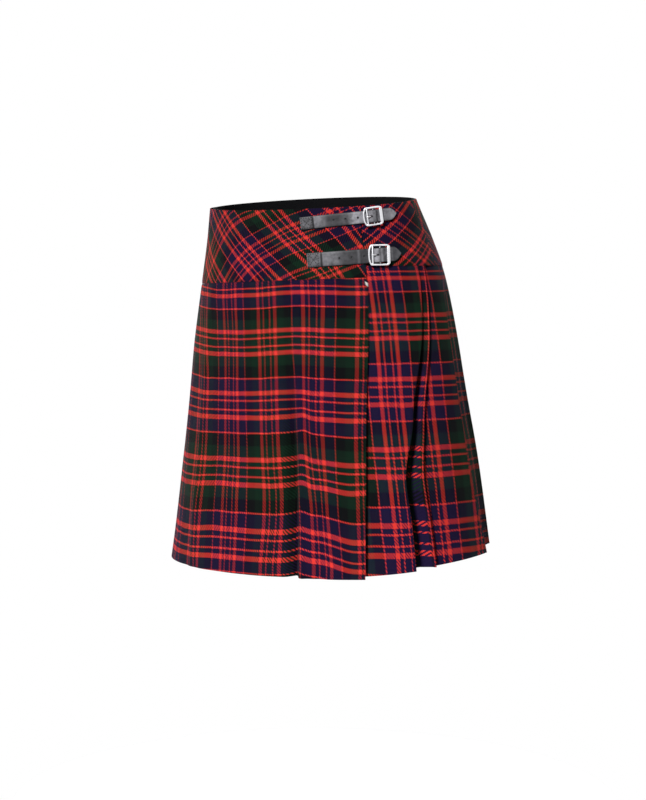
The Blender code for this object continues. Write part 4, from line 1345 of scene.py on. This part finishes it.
def lining_foot(turn):
    ended = ease((turn - LINED_PLEATS[1]) / LINED_BLEND)
    return mix(under_seam_drop(turn), UNDER_SEAM, ended) + LINING_LAP


def lining_lift(turn, drop):
    start, end = LINED_PLEATS
    over_pleats = ease((turn - start) / LINED_BLEND + 1.0) * ease((end - turn) / LINED_BLEND + 1.0)
    near_foot = ease(1.0 - (lining_foot(turn) - LINING_LAP - drop) / LINING_FLARE_DROP)
    return -SEAM - LINING_GAP - LINING_ROOM / 2 - LINING_FLARE * over_pleats * near_foot


class SKIRT_OT_make_lining(bpy.types.Operator):
    """Make the black facing inside the waist"""

    bl_idname = "skirt.make_lining"
    bl_label = "Make waist lining"

    def execute(self, context):
        map_rate = metres_per_degree(*LINING_MAP_AT)
        rows, places = [], []
        for step in range(LINING_ROWS):
            row, row_places = [], []
            for index in range(LINING_COLUMNS + 1):
                turn = 360.0 * index / LINING_COLUMNS
                drop = mix(rim_drop(turn) + LINING_TOP, lining_foot(turn), step / (LINING_ROWS - 1))
                if index < LINING_COLUMNS:
                    row.append(place(turn, drop, lining_lift(turn, drop)))
                row_places.append((turn * map_rate, drop))
            rows.append(row)
            places.append(row_places)
        cloth = material_called("black_lining_twill", make_lining_twill)
        piece = make_shell("waist_facing", rows, places, LINING_CLOTH, cloth, closed=True)
        finish_piece(piece, "lining", "waist_lining")
        return {"FINISHED"}


class SKIRT_OT_make_aprons(bpy.types.Operator):
    """Make the flat front apron and the one under it"""

    bl_idname = "skirt.make_aprons"
    bl_label = "Make aprons"

    def execute(self, context):
        settings = context.scene.tartan_skirt
        cloth = material_called("worsted_tartan", make_tartan, settings, WARP_OVER_DARK)
        half_gap = SEAM / metres_per_degree(free_edge(OUTER_SEAM), OUTER_SEAM) / 2
        aprons = (
            ("apron_outer", lambda drop: APRON_BACK_EDGE, free_edge,
             lambda turn: outer_seam_drop(turn) + SEAM, lambda turn: APRON_HEM,
             apron_lift, apron_place),
            ("apron_under", lambda drop: UNDER_EDGE,
             lambda drop: free_edge(drop) - PLEAT_START - half_gap,
             lambda turn: under_seam_drop(turn) + SEAM, lambda turn: UNDER_HEM,
             lambda turn, drop: under_lift(drop), under_apron_place),
        )
        for name, first, last, top, foot, lift, cloth_place in aprons:
            rows, places = panel(name, first, last, top, foot, lift, cloth_place,
                                 seam_above=True)
            piece = make_shell("tartan_" + name, rows, places, settings.cloth, cloth)
            finish_piece(piece, "tartan", name)
        return {"FINISHED"}


class SKIRT_OT_make_pleats(bpy.types.Operator):
    """Make the knife pleats from the left hip round the back to the right side"""

    bl_idname = "skirt.make_pleats"
    bl_label = "Make pleats"

    def execute(self, context):
        settings = context.scene.tartan_skirt
        # The pleats' tartan is a brightened copy of the cloth, with painted light
        cloth = material_called("worsted_tartan_pleated", make_tartan, settings,
                                PLEAT_BRIGHTENED_WARP_OVER_DARK)
        pleats = pleat_list()
        steps = int((PLEAT_HEM - UNDER_SEAM) / CELL) + 1
        for name, first, last in PLEAT_GROUPS:
            rows, places = [], []
            for step in range(steps):
                path, drops, warps = pleat_row(pleats, first, last, step / (steps - 1))
                warps = fill_hidden_warps(path, warps)
                rows.append(path)
                places.append([(-warp, weft_place(drop, PLEAT_WEFT))
                               for warp, drop in zip(warps, drops)])
            piece = make_shell("knife_" + name, rows, places, settings.cloth, cloth)
            finish_piece(piece, "tartan", name)
        return {"FINISHED"}


def strap_rate(strap):
    """Metres for each degree along a strap."""
    return metres_per_degree((strap.start_turn + strap.tip_turn) / 2, strap.start_drop)


def strap_drop(strap, turn):
    """The drop of a strap's middle line at a turn."""
    share = share_between(turn, strap.start_turn, strap.tip_turn)
    return mix(strap.start_drop, strap.tip_drop, share)


def strap_leather(settings, strap):
    return material_called("black_bridle_leather_" + strap.name, make_leather, settings, strap)


def strap_place(strap, turn, across, lift):
    """A point on the strap: square across its middle line at a turn, and out from the body."""
    rate = strap_rate(strap)
    slope = (strap.tip_drop - strap.start_drop) / ((strap.tip_turn - strap.start_turn) * rate)
    middle = place(turn, strap_drop(strap, turn), lift)
    after, before = (place(turn + side, strap_drop(strap, turn + side), lift)
                     for side in (STRAP_TURN_STEP, -STRAP_TURN_STEP))
    along = (after - before).normalized()
    drop = strap_drop(strap, turn) - across * math.cos(math.atan(slope))
    shifted = turn
    for _ in range(3):
        shifted -= (place(shifted, drop, lift) - middle).dot(along) / rate
    return place(shifted, drop, lift)


def strap_lift(along):
    """The strap's lift at a distance along from its buckle's middle, on the lower buckle."""
    along = min(max(along, BUCKLE_PASS[0][0]), BUCKLE_PASS[-1][0])
    row = next(row for row in range(1, len(BUCKLE_PASS)) if along <= BUCKLE_PASS[row][0])
    (left, low), (right, high) = BUCKLE_PASS[row - 1:row + 1]
    share = share_between(along, left, right)
    return mix(low, high, ease(share) * 0.5 + share * 0.5)


def tube_faces(rings, sides, closed=False):
    """Faces of a tube through rings of points, closed on itself or with flat ends."""
    faces = []
    for ring in range(rings if closed else rings - 1):
        start, after = ring * sides, (ring + 1) % rings * sides
        for side in range(sides):
            next_side = (side + 1) % sides
            faces.append([start + side, start + next_side, after + next_side, after + side])
    if not closed:
        last = (rings - 1) * sides
        faces += [list(range(sides))[::-1], list(range(last, last + sides))]
    return faces


def loft(name, rings, map_rings, material):
    """A leather piece: a closed tube through rings of points, with flat ends and its UV map."""
    faces = tube_faces(len(rings), len(rings[0]))
    points = [point for ring in rings for point in ring]
    map_points = [point for ring in map_rings for point in ring]
    mesh = new_mesh(name, points, faces, [map_points[index] for face in faces for index in face])
    turn_outward(mesh)
    soften(mesh, LEATHER_SHARP)
    return add_piece(name, mesh, material)


def turn_outward(mesh):
    """Turns the faces of closed shapes outwards."""
    bm = bmesh.new()
    bm.from_mesh(mesh)
    bmesh.ops.recalc_face_normals(bm, faces=bm.faces)
    bm.to_mesh(mesh)
    bm.free()


def apply_cuts(piece, cutters):
    """Cuts the cutters out of a piece and keeps the result as its plain mesh."""
    for cutter in cutters:
        modifier = piece.modifiers.new("cut", "BOOLEAN")
        modifier.operation = "DIFFERENCE"
        modifier.solver = "EXACT"
        modifier.object = cutter
    mesh = plain_mesh(piece, preserve_all_data_layers=True)
    piece.modifiers.clear()
    piece.data = mesh
    for cutter in cutters:
        bpy.data.objects.remove(cutter, do_unlink=True)


def punch(outline, low, high, matrix):
    """A cutter from a closed outline between two heights of a local plane."""
    points = [matrix @ Vector((x, y, height)) for height in (low, high) for x, y in outline]
    return link_object("punch", new_mesh("punch", points, tube_faces(2, len(outline))))


def buckle_matrix(strap):
    """The buckle's own plane: X along it towards the tip, Y up it and Z out of the garment."""
    turn, drop = strap.buckle_turn, strap_drop(strap, strap.buckle_turn)
    middle = place(turn, drop, 0.0)
    around = place(turn + BUCKLE_TURN_STEP, drop, 0.0) - place(turn - BUCKLE_TURN_STEP, drop, 0.0)
    upward = place(turn, drop - BUCKLE_DROP_STEP, 0.0) - place(turn, drop + BUCKLE_DROP_STEP, 0.0)
    out = around.cross(upward).normalized()
    around.normalize()
    lean = math.radians(strap.tilt)
    along = around * math.cos(lean) + out.cross(around) * math.sin(lean)
    across = out.cross(along)
    return Matrix(((along.x, across.x, out.x, middle.x), (along.y, across.y, out.y, middle.y),
                   (along.z, across.z, out.z, middle.z), (0.0, 0.0, 0.0, 1.0)))


def strap_turns(strap, scale):
    """Turns of the strap's sections, closer where it passes the buckle and at its tip."""
    rate = strap_rate(strap)
    near_start = strap.buckle_turn + BUCKLE_PASS[0][0] * scale / rate
    near_end = strap.buckle_turn + BUCKLE_PASS[-1][0] * scale / rate
    tip_start = strap.tip_turn - STRAP_TIP / rate
    before, passing, after, tip = STRAP_STEPS
    turns = [mix(strap.start_turn, near_start, step / before) for step in range(before)]
    turns += [mix(near_start, near_end, step / passing) for step in range(passing + 1)]
    turns += [mix(near_end, tip_start, step / after) for step in range(1, after)]
    turns += [mix(tip_start, strap.tip_turn, step / tip) for step in range(tip + 1)]
    return turns, tip_start


class SKIRT_OT_make_straps(bpy.types.Operator):
    """Make the two leather straps with their punched holes"""

    bl_idname = "skirt.make_straps"
    bl_label = "Make straps"

    def execute(self, context):
        for strap in STRAPS:
            leather = strap_leather(context.scene.tartan_skirt, strap)
            scale = strap.buckle_width / PASS_WIDTH
            rate = strap_rate(strap)
            turns, tip_start = strap_turns(strap, scale)
            rings, map_rings = [], []
            for turn in turns:
                lift = strap_lift((turn - strap.buckle_turn) * rate / scale)
                tip_share = clamp(share_between(turn, tip_start, strap.tip_turn))
                half = strap.width / 2 * (1.0 - TIP_NARROWING * tip_share ** TIP_POWER)
                rings.append([strap_place(strap, turn, half * across, lift + STRAP_LEATHER * height)
                              for across, height in STRAP_SECTION])
                map_rings.append([(turn * rate, across) for across, _ in STRAP_SECTION])
            piece = loft("leather_strap_" + strap.name, rings, map_rings, leather)
            apply_cuts(piece, self.hole_cutters(strap) + [self.prong_cutter(strap, scale)])
            finish_piece(piece, "strap_leather", "strap_" + strap.name)
        return {"FINISHED"}

    @staticmethod
    def hole_cutters(strap):
        """Cutters for the punched holes, which stop short of the strap's back, so that a floor of
        its black leather stands in for the shade down the holes.
        """
        angles = [2 * math.pi * side / HOLE_SIDES for side in range(HOLE_SIDES)]
        circle = [(HOLE_RADIUS * math.cos(angle), HOLE_RADIUS * math.sin(angle)) for angle in angles]
        cutters = []
        for turn in strap.holes:
            middle = strap_place(strap, turn, 0.0, 0.0)
            out = strap_place(strap, turn, 0.0, PUNCH_AIM) - middle
            turned = Matrix.Translation(middle) @ out.to_track_quat("Z", "Y").to_matrix().to_4x4()
            cutters.append(punch(circle, BUCKLE_PASS[0][1] + HOLE_SHADE_FLOOR, PUNCH_LENGTH, turned))
        return cutters

    @staticmethod
    def prong_cutter(strap, scale):
        """The cutter for the slot that the prong comes up through."""
        half = PRONG_RADIUS + PRONG_ROOM
        left, right = (along * scale for along in PRONG_HOLE)
        outline = [(left, -half), (right, -half), (right, half), (left, half)]
        return punch(outline, STRAP_LEATHER, FRAME_LIFT + 2 * FRAME_THICK, buckle_matrix(strap))


def frame_ring(left, right, half):
    """The middle line of a buckle's frame, with the half width of the metal at each point.

    The line is a rectangle with round corners whose left side bows out, and the right bar is wide.
    """
    x_left, x_right = left + THIN_BAR / 2, right - THICK_BAR / 2
    y_half = half - RAIL / 2
    corner = CORNER - RAIL / 2
    left_side = 2
    arcs = []
    for x, y, start in ((x_right - corner, corner - y_half, -90.0),
                        (x_right - corner, y_half - corner, 0.0),
                        (x_left + corner, y_half - corner, 90.0),
                        (x_left + corner, corner - y_half, 180.0)):
        angles = [math.radians(start + 90.0 * step / RING_STEPS) for step in range(RING_STEPS + 1)]
        arcs.append([(x + corner * math.cos(angle), y + corner * math.sin(angle))
                     for angle in angles])
    line = []
    for number, arc in enumerate(arcs):
        line += arc
        end, begin = Vector(arc[-1]), Vector(arcs[(number + 1) % len(arcs)][0])
        for step in range(1, RING_STEPS + 1):
            point = end.lerp(begin, step / (RING_STEPS + 1))
            bow = BOW * (1.0 - (point.y / y_half) ** 2) if number == left_side else 0.0
            line.append((point.x - bow, point.y))
    grow, start = BAR_GROWTH
    reach = corner * RAIL_REACH
    ring = []
    for x, y in line:
        share = ease(share_between(x, x_left, x_right) * grow - start)
        side_half = mix(THIN_BAR / 2, THICK_BAR / 2, share)
        blend = ease((abs(y) - (y_half - reach)) / reach)
        ring.append((x, y, mix(side_half, RAIL / 2, blend)))
    return ring


def swept_ring(ring, matrix):
    """Points and faces of a buckle's frame, swept round its closed line with a rounded section."""
    points = []
    for index, (x, y, half_metal) in enumerate(ring):
        before, after = ring[index - 1], ring[(index + 1) % len(ring)]
        run, rise = after[0] - before[0], after[1] - before[1]
        length = math.hypot(run, rise)
        nx, ny = rise / length, -run / length
        for side in range(METAL_SIDES):
            angle = 2 * math.pi * (side + 0.5) / METAL_SIDES
            cosine, sine = math.cos(angle), math.sin(angle)
            wide = math.copysign(abs(cosine) ** FRAME_ROUNDING[0], cosine) * half_metal
            tall = math.copysign(abs(sine) ** FRAME_ROUNDING[1], sine) * FRAME_THICK / 2
            height = FRAME_LIFT + FRAME_THICK / 2 + tall
            points.append(matrix @ Vector((x + nx * wide, y + ny * wide, height)))
    return points, tube_faces(len(ring), METAL_SIDES, closed=True)


def swept_rod(route, radii, matrix):
    """Points and faces of a rod along a route in a buckle's plane."""
    points = []
    last = len(route) - 1
    for index, (point, (wide, tall)) in enumerate(zip(route, radii)):
        tangent = (route[min(index + 1, last)] - route[max(index - 1, 0)]).normalized()
        guide = Vector((0.0, 1.0, 0.0)) if abs(tangent.y) < 0.9 else Vector((0.0, 0.0, 1.0))
        across = tangent.cross(guide).normalized()
        other = tangent.cross(across).normalized()
        for side in range(METAL_SIDES):
            angle = 2 * math.pi * side / METAL_SIDES
            points.append(matrix @ (point + across * (wide * math.cos(angle))
                                    + other * (tall * math.sin(angle))))
    return points, tube_faces(len(route), METAL_SIDES)


def joined_piece(name, shapes, material):
    """One metal piece from several closed shapes, each turned outwards."""
    points, faces = [], []
    for shape_points, shape_faces in shapes:
        start = len(points)
        points += shape_points
        faces += [[start + index for index in face] for face in shape_faces]
    mesh = new_mesh(name, points, faces)
    turn_outward(mesh)
    soften(mesh, METAL_SHARP)
    return add_piece(name, mesh, material)


def domed(start, end, half_wide, half_tall):
    """A straight route and its radii, rounded off at both ends."""
    start, end = Vector(start), Vector(end)
    cap = min(half_wide, half_tall) / (end - start).length
    angles = [math.pi / 2 * step / DOME_STEPS for step in range(DOME_STEPS + 1)]
    inwards = [cap * (1.0 - math.cos(angle)) for angle in angles]
    sizes = [max(math.sin(angle), DOME_TIP) for angle in angles]
    route = [start.lerp(end, share) for share in inwards]
    route += [end.lerp(start, share) for share in reversed(inwards)]
    radii = [(half_wide * size, half_tall * size) for size in sizes + sizes[::-1]]
    return route, radii


class SKIRT_OT_make_buckles(bpy.types.Operator):
    """Make the chrome buckles, their prongs and the leather chapes that hold them"""

    bl_idname = "skirt.make_buckles"
    bl_label = "Make buckles"

    def execute(self, context):
        chrome = material_called("polished_chrome_plate", make_chrome)
        for strap in STRAPS:
            leather = strap_leather(context.scene.tartan_skirt, strap)
            matrix = buckle_matrix(strap)
            width, half = strap.buckle_width, strap.buckle_height / 2
            left = -width / 2 + BOW
            second = left + THIN_BAR - BOW * SLOT_BOW + SLOT + THIN_BAR / 2
            bar_along = CENTRE_BAR_ALONG * width / PASS_WIDTH
            # Straight bars: place along, reach to each side, lift, half size along and outwards
            bars = ((second, half - RAIL * BAR_INSET, FRAME_LIFT + FRAME_THICK / 2,
                     FRAME_THICK / 2, THIN_BAR / 2),
                    (bar_along, half - RAIL / 2, BAR_MIDDLE, CENTRE_BAR_HEIGHT / 2,
                     CENTRE_BAR_WIDTH / 2))
            shapes = [swept_ring(frame_ring(left, width / 2, half), matrix)]
            for along, reach, lift, half_wide, half_tall in bars:
                ends = (along, -reach, lift), (along, reach, lift)
                route, radii = domed(*ends, half_wide, half_tall)
                shapes.append(swept_rod(route, radii, matrix))
            piece = joined_piece("chrome_buckle_" + strap.name, shapes, chrome)
            finish_piece(piece, "buckle_chrome", "buckle_" + strap.name)
            self.make_prong(strap.name, matrix, bar_along, second, chrome)
            self.make_chape(strap, matrix, bar_along, leather)
        return {"FINISHED"}

    @staticmethod
    def make_prong(name, matrix, bar_along, second, chrome):
        """The prong comes up through the strap and lies on the second bar, its tip worn round."""
        top = FRAME_LIFT + FRAME_THICK + PRONG_RADIUS
        corners = [Vector((bar_along - CENTRE_BAR_WIDTH / 2 - SEAM, 0.0, BAR_MIDDLE))]
        corners += [Vector((second + along, 0.0, top + up)) for along, up in PRONG_LINE]
        route = []
        for here, there in zip(corners, corners[1:]):
            route += [here.lerp(there, step / PRONG_STEPS) for step in range(PRONG_STEPS)]
        route.append(corners[-1])
        for _ in range(2):
            smooth = [(before + 2 * here + after) / 4
                      for before, here, after in zip(route, route[1:], route[2:])]
            route = [route[0]] + smooth + [route[-1]]
        radii = []
        for index in range(len(route)):
            share = index / (len(route) - 1)
            taper = PRONG_RADIUS * (1.0 - PRONG_TAPER * share)
            to_tip = max(share_between(share, PRONG_TIP_START, 1.0), 0.0)
            taper *= math.sqrt(max(1.0 - to_tip ** 2, PRONG_TIP))
            radii.append((taper, taper))
        piece = joined_piece("chrome_prong_" + name, [swept_rod(route, radii, matrix)], chrome)
        finish_piece(piece, "buckle_chrome", "prong_" + name)

    @staticmethod
    def make_chape(strap, matrix, bar_along, leather):
        """The leather tab that wraps the centre bar and is sewn down under the strap's tip."""
        rate = strap_rate(strap)
        reach = CENTRE_BAR_WIDTH / 2 + WRAP_ROOM + CHAPE_LEATHER / 2
        base = CHAPE_LIFT + CHAPE_LEATHER / 2
        half = strap.width / 2 - CHAPE_MARGIN
        route = [(mix(CHAPE_LENGTH, bar_along + CHAPE_WRAP_START, step / CHAPE_STEPS), base)
                 for step in range(CHAPE_STEPS + 1)]
        sewn = len(route)
        for degrees in CHAPE_WRAP_DEGREES:
            angle = math.radians(degrees)
            route.append((bar_along + reach * math.cos(angle), BAR_MIDDLE + reach * math.sin(angle)))
        rings, map_rings = [], []
        for index, (x, z) in enumerate(route):
            before, after = route[max(index - 1, 0)], route[min(index + 1, len(route) - 1)]
            run, rise = after[0] - before[0], after[1] - before[1]
            length = math.hypot(run, rise)
            ring = []
            for across, side in CHAPE_SECTION:
                along = x + side * rise / length * CHAPE_LEATHER / 2
                lift = z - side * run / length * CHAPE_LEATHER / 2
                if index < sewn:
                    turn = strap.buckle_turn + along / rate
                    ring.append(strap_place(strap, turn, half * across, lift))
                else:
                    ring.append(matrix @ Vector((along, half * across, lift)))
            rings.append(ring)
            map_rings.append([(x, across) for across, _ in CHAPE_SECTION])
        piece = loft("leather_chape_" + strap.name, rings, map_rings, leather)
        left, right = bar_along - 2 * reach, bar_along - CENTRE_BAR_WIDTH / 4
        outline = [(left, -CHAPE_SLOT), (right, -CHAPE_SLOT),
                   (right, CHAPE_SLOT), (left, CHAPE_SLOT)]
        apply_cuts(piece, [punch(outline, base, BAR_MIDDLE + 2 * reach, matrix)])
        finish_piece(piece, "strap_leather", "chape_" + strap.name)


def stitch_tree():
    """A row of stitches: a rounded stitch at each step along the lines that it is given."""
    tree = bpy.data.node_groups.new("stitch_row", "GeometryNodeTree")
    tree.interface.new_socket("Geometry", in_out="INPUT", socket_type="NodeSocketGeometry")
    for name in ("Stitch length", "Pitch", "Thickness"):
        tree.interface.new_socket(name, in_out="INPUT", socket_type="NodeSocketFloat")
    tree.interface.new_socket("Material", in_out="INPUT", socket_type="NodeSocketMaterial")
    tree.interface.new_socket("Geometry", in_out="OUTPUT", socket_type="NodeSocketGeometry")
    given = add_node(tree, "NodeGroupInput").outputs
    lines = add_node(tree, "GeometryNodeMeshToCurve", links={"Mesh": given["Geometry"]})
    spaced = add_node(tree, "GeometryNodeResampleCurve", {"mode": "LENGTH"},
                      {"Curve": lines, "Length": given["Pitch"]})
    ball = add_node(tree, "GeometryNodeMeshUVSphere", {"Segments": 8, "Rings": 5, "Radius": 0.5})
    size = add_node(tree, "ShaderNodeCombineXYZ", links={
        "X": given["Stitch length"], "Y": given["Thickness"], "Z": given["Thickness"]})
    stitch = add_node(tree, "GeometryNodeTransform", links={"Geometry": ball, "Scale": size})
    tangent = add_node(tree, "GeometryNodeInputTangent")
    turned = add_node(tree, "FunctionNodeAlignRotationToVector", {"axis": "X"}, {"Vector": tangent})
    rows = add_node(tree, "GeometryNodeInstanceOnPoints", links={
        "Points": spaced, "Instance": stitch, "Rotation": turned})
    real = add_node(tree, "GeometryNodeRealizeInstances", links={"Geometry": rows})
    dyed = add_node(tree, "GeometryNodeSetMaterial", links={
        "Geometry": real, "Material": given["Material"]})
    add_node(tree, "NodeGroupOutput", links={"Geometry": dyed})
    return tree


def sew(name, lines, material, length, pitch, thickness):
    """Stitches along lines of points, as one plain mesh."""
    points, edges = [], []
    for line in lines:
        start = len(points)
        points += [tuple(point) for point in line]
        edges += [(start + index, start + index + 1) for index in range(len(line) - 1)]
    mesh = bpy.data.meshes.new(name + "_line")
    mesh.from_pydata(points, edges, [])
    carrier = link_object(name + "_line", mesh)
    tree = bpy.data.node_groups.get("stitch_row") or stitch_tree()
    values = {"Stitch length": length, "Pitch": pitch, "Thickness": thickness, "Material": material}
    modifier = carrier.modifiers.new("stitches", "NODES")
    modifier.node_group = tree
    for item in tree.interface.items_tree:
        if item.item_type == "SOCKET" and item.in_out == "INPUT" and item.name in values:
            modifier[item.identifier] = values[item.name]
    sewn = plain_mesh(carrier)
    carrier.modifiers.clear()
    bpy.data.objects.remove(carrier, do_unlink=True)
    if len(sewn.polygons) == 0:
        raise RuntimeError("no stitches were made for " + name)
    sewn.materials.clear()
    sewn.shade_smooth()
    return add_piece(name, sewn, material)


class SKIRT_OT_make_stitching(bpy.types.Operator):
    """Make the stitching of the straps and the thread tack on the apron"""

    bl_idname = "skirt.make_stitching"
    bl_label = "Make stitching"

    def execute(self, context):
        settings = context.scene.tartan_skirt
        black = material_called("black_bonded_thread", make_thread, "#08080a")
        white = material_called("white_cotton_thread", make_thread, "#f2efe8")
        for strap in STRAPS:
            piece = sew("strap_stitching_" + strap.name, self.box_lines(strap), black,
                        settings.stitch, BOX_PITCH, BOX_THREAD)
            finish_piece(piece, "strap_leather")
        piece = sew("thread_tack", self.tack_lines(), white, *TACK_STITCHES)
        finish_piece(piece, "tartan")
        return {"FINISHED"}

    @staticmethod
    def box_lines(strap):
        """The stitched box with its cross at the strap's square end."""
        rate = strap_rate(strap)
        half = strap.width / 2 - BOX_MARGIN
        first, last = strap.start_turn + BOX_MARGIN / rate, strap.start_turn + BOX_LENGTH / rate
        lift = BUCKLE_PASS[0][1] + STRAP_LEATHER * BOX_LIFT
        corners = {"a": (first, half), "b": (last, half), "c": (last, -half), "d": (first, -half)}
        shares = [step / BOX_STEPS for step in range(BOX_STEPS + 1)]
        lines = []
        for start, end in ("ab", "bc", "cd", "da", "ac", "bd"):
            (turn_a, across_a), (turn_b, across_b) = corners[start], corners[end]
            lines.append([strap_place(strap, mix(turn_a, turn_b, share),
                                      mix(across_a, across_b, share), lift) for share in shares])
        return lines

    @staticmethod
    def tack_lines():
        """A small bundle of white thread at the top of the apron's free edge."""
        lines = []
        for number in range(TACK_LINES):
            drop = TACK_DROP + TACK_SPACING * number
            lift = CLOTH_ROOM + LAYER + TACK_LIFTS[number % 2]
            line = []
            for index, (along, down, up) in enumerate(TACK_LINE):
                spread = TACK_SPREAD * (number % 3) if index == 0 else 0.0
                line.append(place(free_edge(drop) + along + spread, drop + down, lift + up))
            lines.append(line)
        return lines


def direction(azimuth, elevation):
    """A unit vector towards an azimuth, from the front towards the wearer's left, and elevation."""
    azimuth, elevation = math.radians(azimuth), math.radians(elevation)
    return Vector((math.sin(azimuth) * math.cos(elevation), -math.cos(azimuth) * math.cos(elevation),
                   math.sin(elevation)))


class SKIRT_OT_make_stage(bpy.types.Operator):
    """Make the floor, the soft lights and the camera"""

    bl_idname = "skirt.make_stage"
    bl_label = "Make stage"

    def execute(self, context):
        scene = context.scene
        scene.view_settings.view_transform = "Standard"
        self.make_floor(scene)
        self.make_world(scene)
        self.make_lights()
        self.make_camera(scene)
        return {"FINISHED"}

    @staticmethod
    def make_floor(scene):
        """A wide disc of pale seamless paper."""
        height = -APRON_HEM - scene.tartan_skirt.floor_gap
        angles = [2 * math.pi * side / FLOOR_SIDES for side in range(FLOOR_SIDES)]
        points = [(0.0, 0.0, height)]
        points += [(radius * math.cos(angle), radius * math.sin(angle), height)
                   for radius in FLOOR_RADII for angle in angles]
        faces = []
        for side in range(FLOOR_SIDES):
            after = (side + 1) % FLOOR_SIDES
            faces.append([0, 1 + side, 1 + after])
            for inner in range(1, 1 + (len(FLOOR_RADII) - 1) * FLOOR_SIDES, FLOOR_SIDES):
                outer = inner + FLOOR_SIDES
                faces.append([inner + side, outer + side, outer + after, inner + after])
        material, tree, shader = new_material("pale_seamless_paper", {"Roughness": 0.95})
        at = add_node(tree, "ShaderNodeTexCoord").outputs["Object"]
        fibre = add_node(tree, "ShaderNodeTexNoise", {"Scale": 400.0, "Detail": 3.0}, {"Vector": at})
        tone = add_node(tree, "ShaderNodeMix",
                        {"data_type": "RGBA", 6: colour("#f8f8f8"), 7: colour("#fdfdfd")},
                        {0: fibre})
        link_inputs(tree, shader, {"Base Color": tone.outputs[2]})
        add_piece("paper_floor", new_mesh("paper_floor", points, faces), material)

    @staticmethod
    def make_world(scene):
        """Even white light from all round."""
        world = bpy.data.worlds.new("white_studio")
        world.use_nodes = True
        tree = world.node_tree
        tree.nodes.clear()
        path = add_node(tree, "ShaderNodeLightPath").outputs
        white = (1.0, 1.0, 1.0, 1.0)
        fill = add_node(tree, "ShaderNodeBackground", {"Color": white, "Strength": FILL_STRENGTH})
        seen = add_node(tree, "ShaderNodeBackground", {"Color": white, "Strength": 1.0})
        bright = add_node(tree, "ShaderNodeMath", {"operation": "MAXIMUM"},
                          {0: path["Is Camera Ray"], 1: path["Is Glossy Ray"]})
        both = add_node(tree, "ShaderNodeMixShader", links={0: bright, 1: fill, 2: seen})
        add_node(tree, "ShaderNodeOutputWorld", links={"Surface": both})
        scene.world = world

    @staticmethod
    def make_lights():
        """Wide soft lights, from the front, one side, behind and overhead."""
        for name, azimuth, elevation, strength, spread in LIGHTS:
            light = bpy.data.lights.new(name, "SUN")
            light.energy = strength
            light.angle = math.radians(spread)
            lamp = link_object(name, light)
            away = direction(azimuth, elevation)
            lamp.location = away * LIGHT_DISTANCE
            lamp.rotation_mode = "QUATERNION"
            lamp.rotation_quaternion = away.to_track_quat("Z", "Y")

    @staticmethod
    def make_camera(scene):
        back = direction(CAMERA_AZIMUTH, CAMERA_ELEVATION)
        data = bpy.data.cameras.new("studio_camera")
        data.lens = CAMERA_LENS
        data.shift_x, data.shift_y = CAMERA_SHIFT
        data.clip_end = CAMERA_CLIP
        camera = link_object("studio_camera", data)
        camera.location = Vector(CAMERA_TARGET) + back * CAMERA_DISTANCE
        camera.rotation_mode = "QUATERNION"
        camera.rotation_quaternion = (-back).to_track_quat("-Z", "Y")
        scene.camera = camera


OPERATORS = (SKIRT_OT_make_yokes, SKIRT_OT_make_lining, SKIRT_OT_make_aprons,
             SKIRT_OT_make_pleats, SKIRT_OT_make_straps, SKIRT_OT_make_buckles,
             SKIRT_OT_make_stitching, SKIRT_OT_make_stage)


class VIEW3D_PT_tartan_skirt(bpy.types.Panel):
    """Lists the skirt's settings and the steps that make it"""

    bl_label = "Tartan mini skirt"
    bl_idname = "VIEW3D_PT_tartan_skirt"
    bl_space_type = "VIEW_3D"
    bl_region_type = "UI"
    bl_category = "Skirt"

    def draw(self, context):
        settings = context.scene.tartan_skirt
        for name in SkirtSettings.__annotations__:
            self.layout.prop(settings, name)
        for operator in OPERATORS:
            self.layout.operator(operator.bl_idname)


CLASSES = (SkirtSettings, *OPERATORS, VIEW3D_PT_tartan_skirt)


def register():
    for item in CLASSES:
        bpy.utils.register_class(item)
    bpy.types.Scene.tartan_skirt = PointerProperty(type=SkirtSettings)


def unregister():
    del bpy.types.Scene.tartan_skirt
    for item in reversed(CLASSES):
        bpy.utils.unregister_class(item)


def main():
    register()
    bpy.ops.skirt.make_yokes()
    bpy.ops.skirt.make_lining()
    bpy.ops.skirt.make_aprons()
    bpy.ops.skirt.make_pleats()
    bpy.ops.skirt.make_straps()
    bpy.ops.skirt.make_buckles()
    bpy.ops.skirt.make_stitching()
    bpy.ops.skirt.make_stage()


if __name__ == "__main__":
    main()
